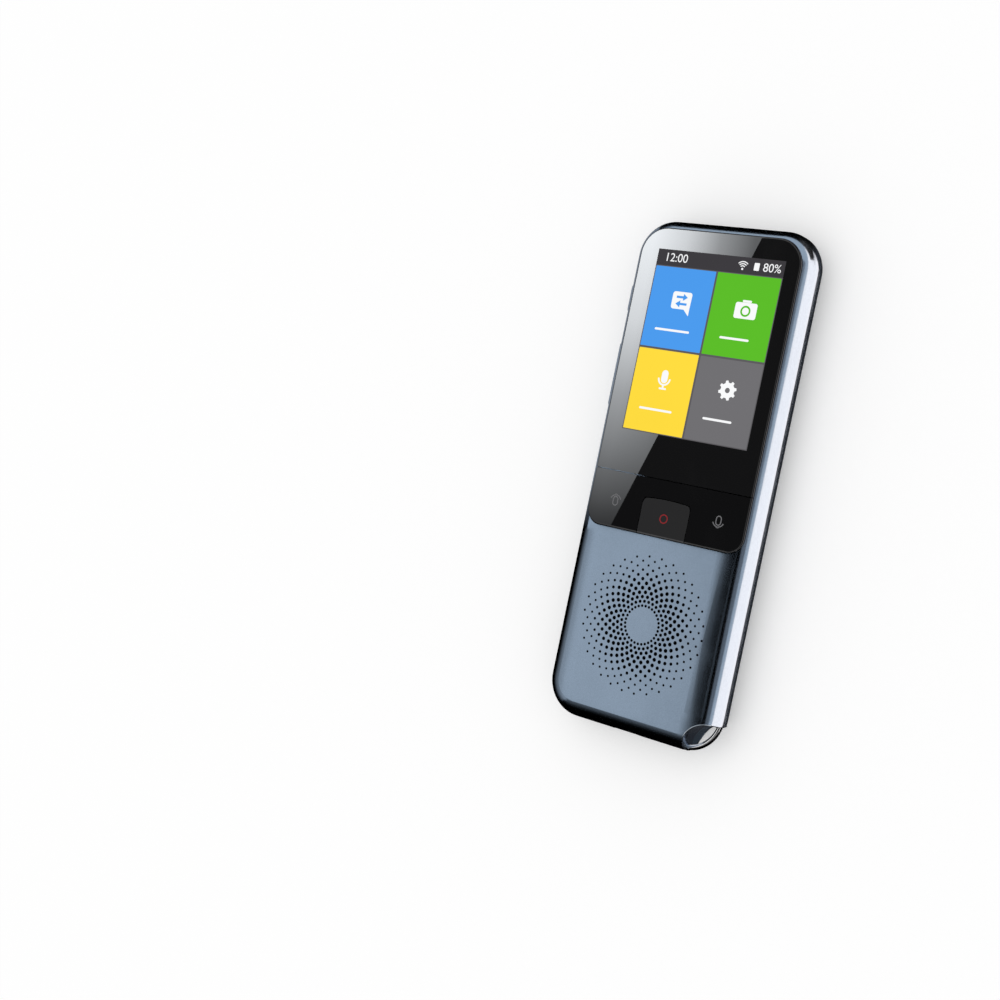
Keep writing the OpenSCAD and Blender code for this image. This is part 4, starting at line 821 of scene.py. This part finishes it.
symbols = [
    bubble(TALK_X, TALK_Y, 5.8, 4.6, 0.7),
    arrow(TALK_X, TALK_Y + ARROW_RISE, ARROW_L, 1), arrow(TALK_X, TALK_Y - ARROW_RISE, ARROW_L, -1),
    bar(PHOTO_X, PHOTO_Y + 0.1, 6.3, 4.2, 0.6), disc(PHOTO_X, PHOTO_Y, LENS_OUTER),
    disc(PHOTO_X, PHOTO_Y, LENS_INNER), bar(PHOTO_X, PHOTO_Y + 2.55, 2.6, 0.6, 0.25),
    bar(VOICE_X, VOICE_Y + 0.5, 1.95, 3.5), microphone_cup(VOICE_X, VOICE_Y, VOICE_SIZE),
    gear(*GEAR_PLACE, GEAR_R, GEAR_TEETH), disc(*GEAR_PLACE, GEAR_BORE),
    *[bar(x, y, width, WORD_H) for x, y, width in WORDS],
    bar(*BATTERY_PLACE, 1.5, 2, 0.2), disc(*SIGNAL_PLACE, SIGNAL_DOT, 12),
    *[band(*SIGNAL_PLACE, outer, inner, 45, 135, 8) for outer, inner in SIGNAL_ARCS],
]
SYMBOL_LOW, SYMBOL_HIGH = PANEL_Z + 2 * SHEET, PANEL_Z + 3 * SHEET
TEXT_LOW = SYMBOL_LOW - SHEET
CAP_SHARE = 0.69
screen_white = lit("screen_white", 250, 251, 252)
settle(sheet_piece("screen_symbols", symbols, SYMBOL_LOW, SYMBOL_HIGH, screen_white), "case")
for name, words, x, y, cap_height in (("screen_time", "12:00", -15.8, 56.4, 2.2),
                                      ("screen_charge", "80%", 13.4, 56.3, 2.15)):
    text = bpy.data.curves.new(name, "FONT")
    text.body = words
    text.size = cap_height / CAP_SHARE * MM
    settle(flat_mesh(name, text, x, y, TEXT_LOW, SYMBOL_HIGH, screen_white), "case")


# ---- Key marks -------------------------------------------
# Printed under the keys' clear coat: a microphone on each end of the talk rocker, the left
# one upside down, and a red ring on the centre key.
mark_grey = moulded("mark_grey", (0.2, 0.2, 0.21), 0.35, Depth=0.000001)
mark_red = moulded("mark_red", (0.34, 0.014, 0.02), 0.35, Depth=0.000001)
MARK_T = 0.012
MARK_LINE = 0.275
CAPSULE_W, CAPSULE_L = 1.7, 2.6
CUP_OUTER, CUP_INNER = 1.75, 1.48
CUP_START, CUP_END, CUP_STEPS = 20, 160, 14
STEM_W, STEM_L, STEM_R = 0.8, 0.3, 0.1
STEM_DROP = 1.78
RING_Y = -10.7
RING_OUTER, RING_INNER = 1.25, 0.93


def key_mark(name, outlines, material, body):
    """A printed mark on a key."""
    settle(sheet_piece(name, outlines, PANEL_Z, PANEL_Z + MARK_T, material), body)


for name, x, y, side in (("left_talk_mark", -15.5, -8.7, -1), ("right_talk_mark", 15.8, -8.1, 1)):
    key_mark(name, [bar(x, y, CAPSULE_W, CAPSULE_L),
                    bar(x, y, CAPSULE_W - 2 * MARK_LINE, CAPSULE_L - 2 * MARK_LINE),
                    band(x, y, CUP_OUTER, CUP_INNER, -CUP_START * side, -CUP_END * side, CUP_STEPS),
                    bar(x, y - side * STEM_DROP, STEM_W, STEM_L, STEM_R)], mark_grey, "talk_rocker")
key_mark("centre_mark", [disc(0, RING_Y, RING_OUTER), disc(0, RING_Y, RING_INNER)], mark_red, "centre_key")


# ---- Speaker grille --------------------------------------
# Rings of holes drilled through the face, each ring turned half a pitch from the last, with a
# dark ring of painted shade round every hole. A black woven mesh lies behind them.
RINGS, RING_HOLES = 12, 30
FIRST_RING_R, RING_STEP = 5.05, 1.18
SMALLEST_HOLE, HOLE_SWELL = 0.6, 0.38
SWELL_START, SWELL_RINGS = 0.8, 9.5
SHADE_RING_REACH, SHADE_RING_R = 1.04, 0.12
SHADE_RING_SINK = 0.02
GRILLE_Y = -39
hole_rims, given = geometry_tree("hole_rims", First_ring=FLOAT, Ring_step=FLOAT, Holes=COUNT,
                                 Smallest=FLOAT, Swell=FLOAT)
spots = add(hole_rims, "GeometryNodeMeshLine", Count=RINGS * RING_HOLES)
number = add(hole_rims, "GeometryNodeInputIndex").outputs[0]
ring = calc("FLOOR", calc("DIVIDE", number, given["Holes"]))
hole = calc("MODULO", number, given["Holes"])
half_pitch = times(calc("MODULO", calc("SUBTRACT", RINGS - 1, ring), 2), 0.5)
turn = times(calc("DIVIDE", calc("ADD", hole, half_pitch), given["Holes"]), 2 * math.pi)
reach = times_plus(ring, given["Ring step"], given["First ring"])
rim_place = add(hole_rims, "ShaderNodeCombineXYZ", X=times(reach, calc("COSINE", turn)),
                Y=times(reach, calc("SINE", turn)))
placed = add(hole_rims, "GeometryNodeSetPosition", Geometry=spots.outputs[0], Position=rim_place.outputs[0])
wave = calc("MINIMUM", calc("DIVIDE", calc("ADD", ring, SWELL_START), SWELL_RINGS), 1)
swell = calc("SINE", times(wave, math.pi))
hole_r = times(times_plus(swell, given["Swell"], given["Smallest"]), 0.5)
rim_circle = add(hole_rims, "GeometryNodeCurvePrimitiveCircle", Resolution=12, Radius=SHADE_RING_REACH)
rim_bead = add(hole_rims, "GeometryNodeCurvePrimitiveCircle", Resolution=4, Radius=SHADE_RING_R)
one_rim = add(hole_rims, "GeometryNodeCurveToMesh", Curve=rim_circle.outputs[0],
              Profile_Curve=rim_bead.outputs[0])
all_rims = add(hole_rims, "GeometryNodeInstanceOnPoints", Points=placed.outputs[0],
               Instance=one_rim.outputs[0], Scale=hole_r)
hand_over(hole_rims, all_rims.outputs[0], given["Material"])
# The rings' near-black colour is painted shade of each hole's wall
hole_shade = finish("drilled_burr", moulded_grain, {"Colour": (0.01, 0.013, 0.02), "Roughness": 0.45}, Metallic=0.3)
rims = grown("grille_rims", hole_rims, First_ring=FIRST_RING_R * MM, Ring_step=RING_STEP * MM,
             Holes=RING_HOLES, Smallest=SMALLEST_HOLE * MM, Swell=HOLE_SWELL * MM, Material=hole_shade)
rims.data.transform(Matrix.Translation(Vector((0, GRILLE_Y, BODY_T - SHADE_RING_SINK)) * MM))
settle(rims, "case")


def crossed_bands(place, scale):
    """Two sets of even bands, one across each way."""
    return [add(place.id_data, "ShaderNodeTexWave", {"wave_type": "BANDS", "bands_direction": axis},
                Vector=place, Scale=scale).outputs["Fac"] for axis in ("X", "Y")]


# Threads counts radians to the metre; a wave texture turns twenty for each unit of its scale
WAVE_TURN = 20
woven_mesh, given, place = finish_group("woven_mesh", Colour=(0.01, 0.01, 0.01, 1), Roughness=0.6,
                                        Threads=4000.0, Depth=0.00003)
weave = calc("MAXIMUM", *crossed_bands(place, times(given["Threads"], 1 / WAVE_TURN)))
# The threads' colour is lighter where they lie high and darker between them: painted light and shade
give_out(woven_mesh, Colour=shade(given["Colour"], between(weave, 0.4, 1, 0.4, 1.4)),
         Roughness=times_plus(weave, -0.15, given["Roughness"]), Normal=bump(weave, given["Depth"]))
dress(finish("black_mesh", woven_mesh, {"Colour": (0.006, 0.006, 0.007)}, Metallic=0.0), "speaker_mesh")


# ---- Camera window ---------------------------------------
# A dark glass pill in a polished trim carries the turned lens ring and the square flash.
# Behind the clear lens cover sits the ribbed black barrel with its domed, coated lens.
dress(gloss("camera_glass", (0.012, 0.014, 0.02), 0.04, ior=1.52), "camera_window")
dress(polished_steel, "camera_trim")
dress(metal("turned_steel", (0.72, 0.72, 0.74), 0.14, Lines=(1, 1, 0.2)), "lens_ring")

clear_cover, tree = blank_material("clear_cover")
place = object_place(tree)
cover(tree, Base_Color=(0.94, 0.96, 1.0), Metallic=0.0, IOR=1.5, Transmission_Weight=1.0,
      Roughness=between(noise(place, 400, 4), 0.5, 0.8, 0.01, 0.05, smooth=True),
      Normal=bump(noise(place, 80, 1), 0.0000005))
dress(clear_cover, "lens_cover")


def mixed(factor, first, second):
    """The output of a Mix node between two colours."""
    node = add(factor.id_data, "ShaderNodeMix", {"data_type": "RGBA"}, Factor=factor, A=first, B=second)
    return next(output for output in node.outputs if output.enabled)


# The barrel is coloured by its distance from the lens axis: the lens's coating tint, lighter
# towards its rim, is a painted reflection; then come black steps, lighter on each rib's crest
# as painted light
LENS_R, LENS_EDGE_R = 1.42, 1.5
BARREL_STEP = 0.16
axis_x, axis_y, _ = [(low + high) / 2 for low, high in zip(*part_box("lens_ring"))]
barrel, tree = blank_material("camera_barrel")
centred = add(tree, "ShaderNodeMapping", Vector=object_place(tree), Location=(-axis_x, -axis_y, 0),
              Scale=(1, 1, 0))
length = add(tree, "ShaderNodeVectorMath", {"operation": "LENGTH"}, Vector=centred.outputs[0])
radius = calc("DIVIDE", length.outputs["Value"], MM)
in_lens = between(radius, LENS_R, LENS_EDGE_R, 1, 0, smooth=True)
steps = calc("PINGPONG", radius, BARREL_STEP)
black_step = between(steps, 0.06, 0.1, 0.006, 0.03)
coating_reflection = ramp(between(radius, 0, LENS_EDGE_R, 0, 1),
               (0, (0.002, 0.002, 0.006)), (0.45, (0.004, 0.012, 0.035)), (1, (0.03, 0.01, 0.06)))
cover(tree, Base_Color=mixed(in_lens, black_step, coating_reflection), Metallic=0.0, Coat_Weight=in_lens,
      Coat_Roughness=0.02, Roughness=between(in_lens, 0, 1, 0.45, 0.05), Normal=bump(steps, 0.00004))
dress(barrel, "camera_module")

# Frosted flash cover with fine crossed ribs, over a yellow phosphor
frosted, tree = blank_material("frosted_flash")
ribs = times(*crossed_bands(object_place(tree), 260.0))
cover(tree, Base_Color=(0.95, 0.93, 0.84), Metallic=0.0, IOR=1.45, Transmission_Weight=0.35,
      Roughness=between(ribs, 0, 1, 0.25, 0.45), Normal=bump(ribs, 0.00003))
dress(frosted, "flash_lens")
dress(moulded("phosphor", (0.75, 0.62, 0.12), 0.5, Grain=9000.0), "flash_led")


# ---- Charging socket -------------------------------------
# The drawn steel shell of a small reversible socket at the lower end, with a black tongue
# that carries twelve gilt contacts on each face.
drawn_steel = metal("drawn_steel", (0.62, 0.62, 0.64), 0.24)
dress(drawn_steel, "usb_socket")
dress(moulded("black_plastic", (0.015, 0.015, 0.017), 0.4, Depth=0.000004), "usb_tongue")
CONTACTS, CONTACT_PITCH = 12, 0.5
CONTACT_SIZE = (0.26, 3.2, 0.03)
CONTACT_INSET = 0.3
contact_row, given = geometry_tree("contact_row", Pitch=FLOAT, Count=COUNT, Size=VECTOR)
step = add(contact_row, "ShaderNodeCombineXYZ", X=given["Pitch"])
row = add(contact_row, "GeometryNodeMeshLine", Count=given["Count"], Offset=step.outputs[0])
blade = add(contact_row, "GeometryNodeMeshCube", Size=given["Size"])
blades = add(contact_row, "GeometryNodeInstanceOnPoints", Points=row.outputs[0], Instance=blade.outputs[0])
hand_over(contact_row, blades.outputs[0], given["Material"])
gilt = metal("gilt", (0.85, 0.6, 0.25), 0.18)
(_, tongue_near, tongue_bottom), (_, _, tongue_top) = in_mm(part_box("usb_tongue"))
first_x = -CONTACT_PITCH * (CONTACTS - 1) / 2
contact_y = tongue_near + CONTACT_INSET + CONTACT_SIZE[1] / 2
for name, face_z in (("contacts_below", tongue_bottom), ("contacts_above", tongue_top)):
    contacts = grown(name, contact_row, Pitch=CONTACT_PITCH * MM, Count=CONTACTS,
                     Size=tuple(side * MM for side in CONTACT_SIZE), Material=gilt)
    contacts.data.transform(Matrix.Translation(Vector((first_x, contact_y, face_z)) * MM))
    settle(contacts, "case")


# ---- Display stack ---------------------------------------
# Two sheets of dark display glass over a white backlight in its tray, glued to the window
# with clear glue inside a frame of black tape, and led to the board by a folded film.
dress(gloss("display_dark", (0.012, 0.014, 0.022), 0.08), "lcd_panel")
dress(moulded("white_tray", (0.8, 0.8, 0.79), 0.35, Mottle=0.03), "backlight", "battery_tape")
dress(gloss("clear_glue", (0.5, 0.55, 0.58), 0.12, ior=1.47, Alpha=0.35), "screen_glue")
dress(moulded("black_tape", (0.02, 0.02, 0.022), 0.6, Grain=5000.0), "display_tape")

# Copper film under an amber cover: fine tracks lie side by side along the direction Tracks
AMBER = (0.5, 0.2, 0.05)
film, given, place = finish_group("copper_film", Colour=(*AMBER, 1), Roughness=0.35, Tracks=(1, 0, 0),
                                  Pitch=0.0005)
over_tracks = fed(film, "ShaderNodeVectorMath", {"operation": "DOT_PRODUCT"}, place, given["Tracks"])
saw = calc("PINGPONG", calc("DIVIDE", over_tracks.outputs["Value"], given["Pitch"]), 0.5)
track = between(saw, 0.2, 0.3, 0, 1, smooth=True)
tone = times(between(track, 0, 1, 0.62, 1.15), between(noise(place, 150, 3), 0.3, 0.7, 0.93, 1.07))
give_out(film, Colour=shade(given["Colour"], tone), Roughness=times_plus(track, -0.08, given["Roughness"]),
         Normal=bump(track, 0.00001))
dress(finish("amber_film", film, {"Colour": AMBER}, Metallic=0.35), "display_flex", "usb_flex")
dress(finish("side_film", film, {"Colour": AMBER, "Tracks": (0, 0, 1)}, Metallic=0.35), "side_flex")
antenna_copper = {"Colour": (0.6, 0.42, 0.12), "Tracks": (0, 1, 0), "Pitch": 0.0018}
dress(finish("antenna_film", film, antenna_copper, Metallic=0.6), "antenna_flex")


# ---- Key parts -------------------------------------------
# Under the keys: a grey silicone membrane, three steel snap domes and their board. Behind
# the side keys: three tact switches on a film, backed by a steel plate.
dress(moulded("grey_rubber", (0.045, 0.045, 0.047), 0.65, Grain=2200.0),
      "key_membrane", "mic_boot", "flash_stand")
dress(polished_steel, "key_domes")
dress(drawn_steel, "side_switches", "side_key_plate", "microphone")
dress(moulded("ivory_plastic", (0.72, 0.68, 0.56), 0.45), "key_connector", "battery_connector")


# ---- Boards ----------------------------------------------
# Green-lacquered circuit boards with copper tracks and pads showing through, black chips
# with dull moulded tops, pressed tin lids and zinc-plated screws.
PAD_GOLD = (0.55, 0.5, 0.3)
circuit, given, place = finish_group("circuit", Colour=(0.01, 0.09, 0.04, 1), Roughness=0.35, Pitch=420.0)
blocks = cells(place, given["Pitch"], {"distance": "MANHATTAN"})["Distance"]
copper_line = between(calc("PINGPONG", times(blocks, 6), 0.5), 0.28, 0.34, 0, 1, smooth=True)
dots = cells(place, times(given["Pitch"], 2.3))["Distance"]
pad = between(dots, 0.1, 0.14, 1, 0, smooth=True)
tone = times(times_plus(copper_line, 0.45, 0.85), between(noise(place, 200, 3), 0.3, 0.7, 0.92, 1.08))
give_out(circuit, Colour=mixed(pad, shade(given["Colour"], tone), PAD_GOLD),
         Roughness=times_plus(pad, -0.1, given["Roughness"]),
         Normal=bump(calc("MAXIMUM", copper_line, pad), 0.00002))
dress(finish("board_green", circuit, {}, Metallic=0.0), "main_board", "key_board", "usb_board")
dress(moulded("chip_black", (0.02, 0.02, 0.021), 0.55, Grain=6000.0), "chips")
dress(metal("tin_lid", (0.6, 0.6, 0.6), 0.32, Tarnish=0.15), "shield_cans")
dress(metal("zinc", (0.66, 0.66, 0.62), 0.28, Lines=(1, 1, 1)), "board_screws")


# ---- Loudspeaker -----------------------------------------
# A flat round driver: pressed frame, black paper cone with a rubber roll, copper voice coil
# in the gap of a plated magnet cup, a foam ring above it and two red leads to the board.
dress(drawn_steel, "speaker_frame")
dress(moulded("paper_cone", (0.035, 0.035, 0.035), 0.75, Grain=1500.0, Depth=0.00003, Mottle=0.15),
      "speaker_cone")
dress(metal("wound_copper", (0.75, 0.33, 0.14), 0.3, Lines=(0.1, 0.1, 1.5), Depth=0.00001), "voice_coil")
dress(metal("plated_magnet", (0.42, 0.42, 0.44), 0.3, Tarnish=0.2), "speaker_magnet")
dress(moulded("black_foam", (0.02, 0.02, 0.021), 0.95, Grain=1800.0, Depth=0.00012, Mottle=0.3),
      "speaker_gasket", "camera_gasket")
dress(moulded("red_wire", (0.5, 0.02, 0.015), 0.4, Depth=0.000002), "speaker_leads", "battery_leads")


# ---- Battery ---------------------------------------------
# A flat lithium cell in a creased and embossed aluminium pouch, held down by white
# double-sided tape.
pouch, given, place = finish_group("foil_pouch", Colour=(0.6, 0.62, 0.63, 1), Roughness=0.34,
                                   Crinkle=0.00008)
creases = cells(place, 260.0, {"feature": "SMOOTH_F1"})["Distance"]
emboss = cells(place, 2600.0, Randomness=0.0)["Distance"]
folds = times_plus(emboss, 0.12, creases)
# The foil's colour is darker in the hollows of the folds and lighter on their ridges: painted shade and light
give_out(pouch, Colour=shade(given["Colour"], between(folds, 0, 0.9, 0.9, 1.05)),
         Roughness=times_plus(folds, 0.08, given["Roughness"]), Normal=bump(folds, given["Crinkle"]))
dress(finish("foil_pouch", pouch, {}, Metallic=0.9), "battery")
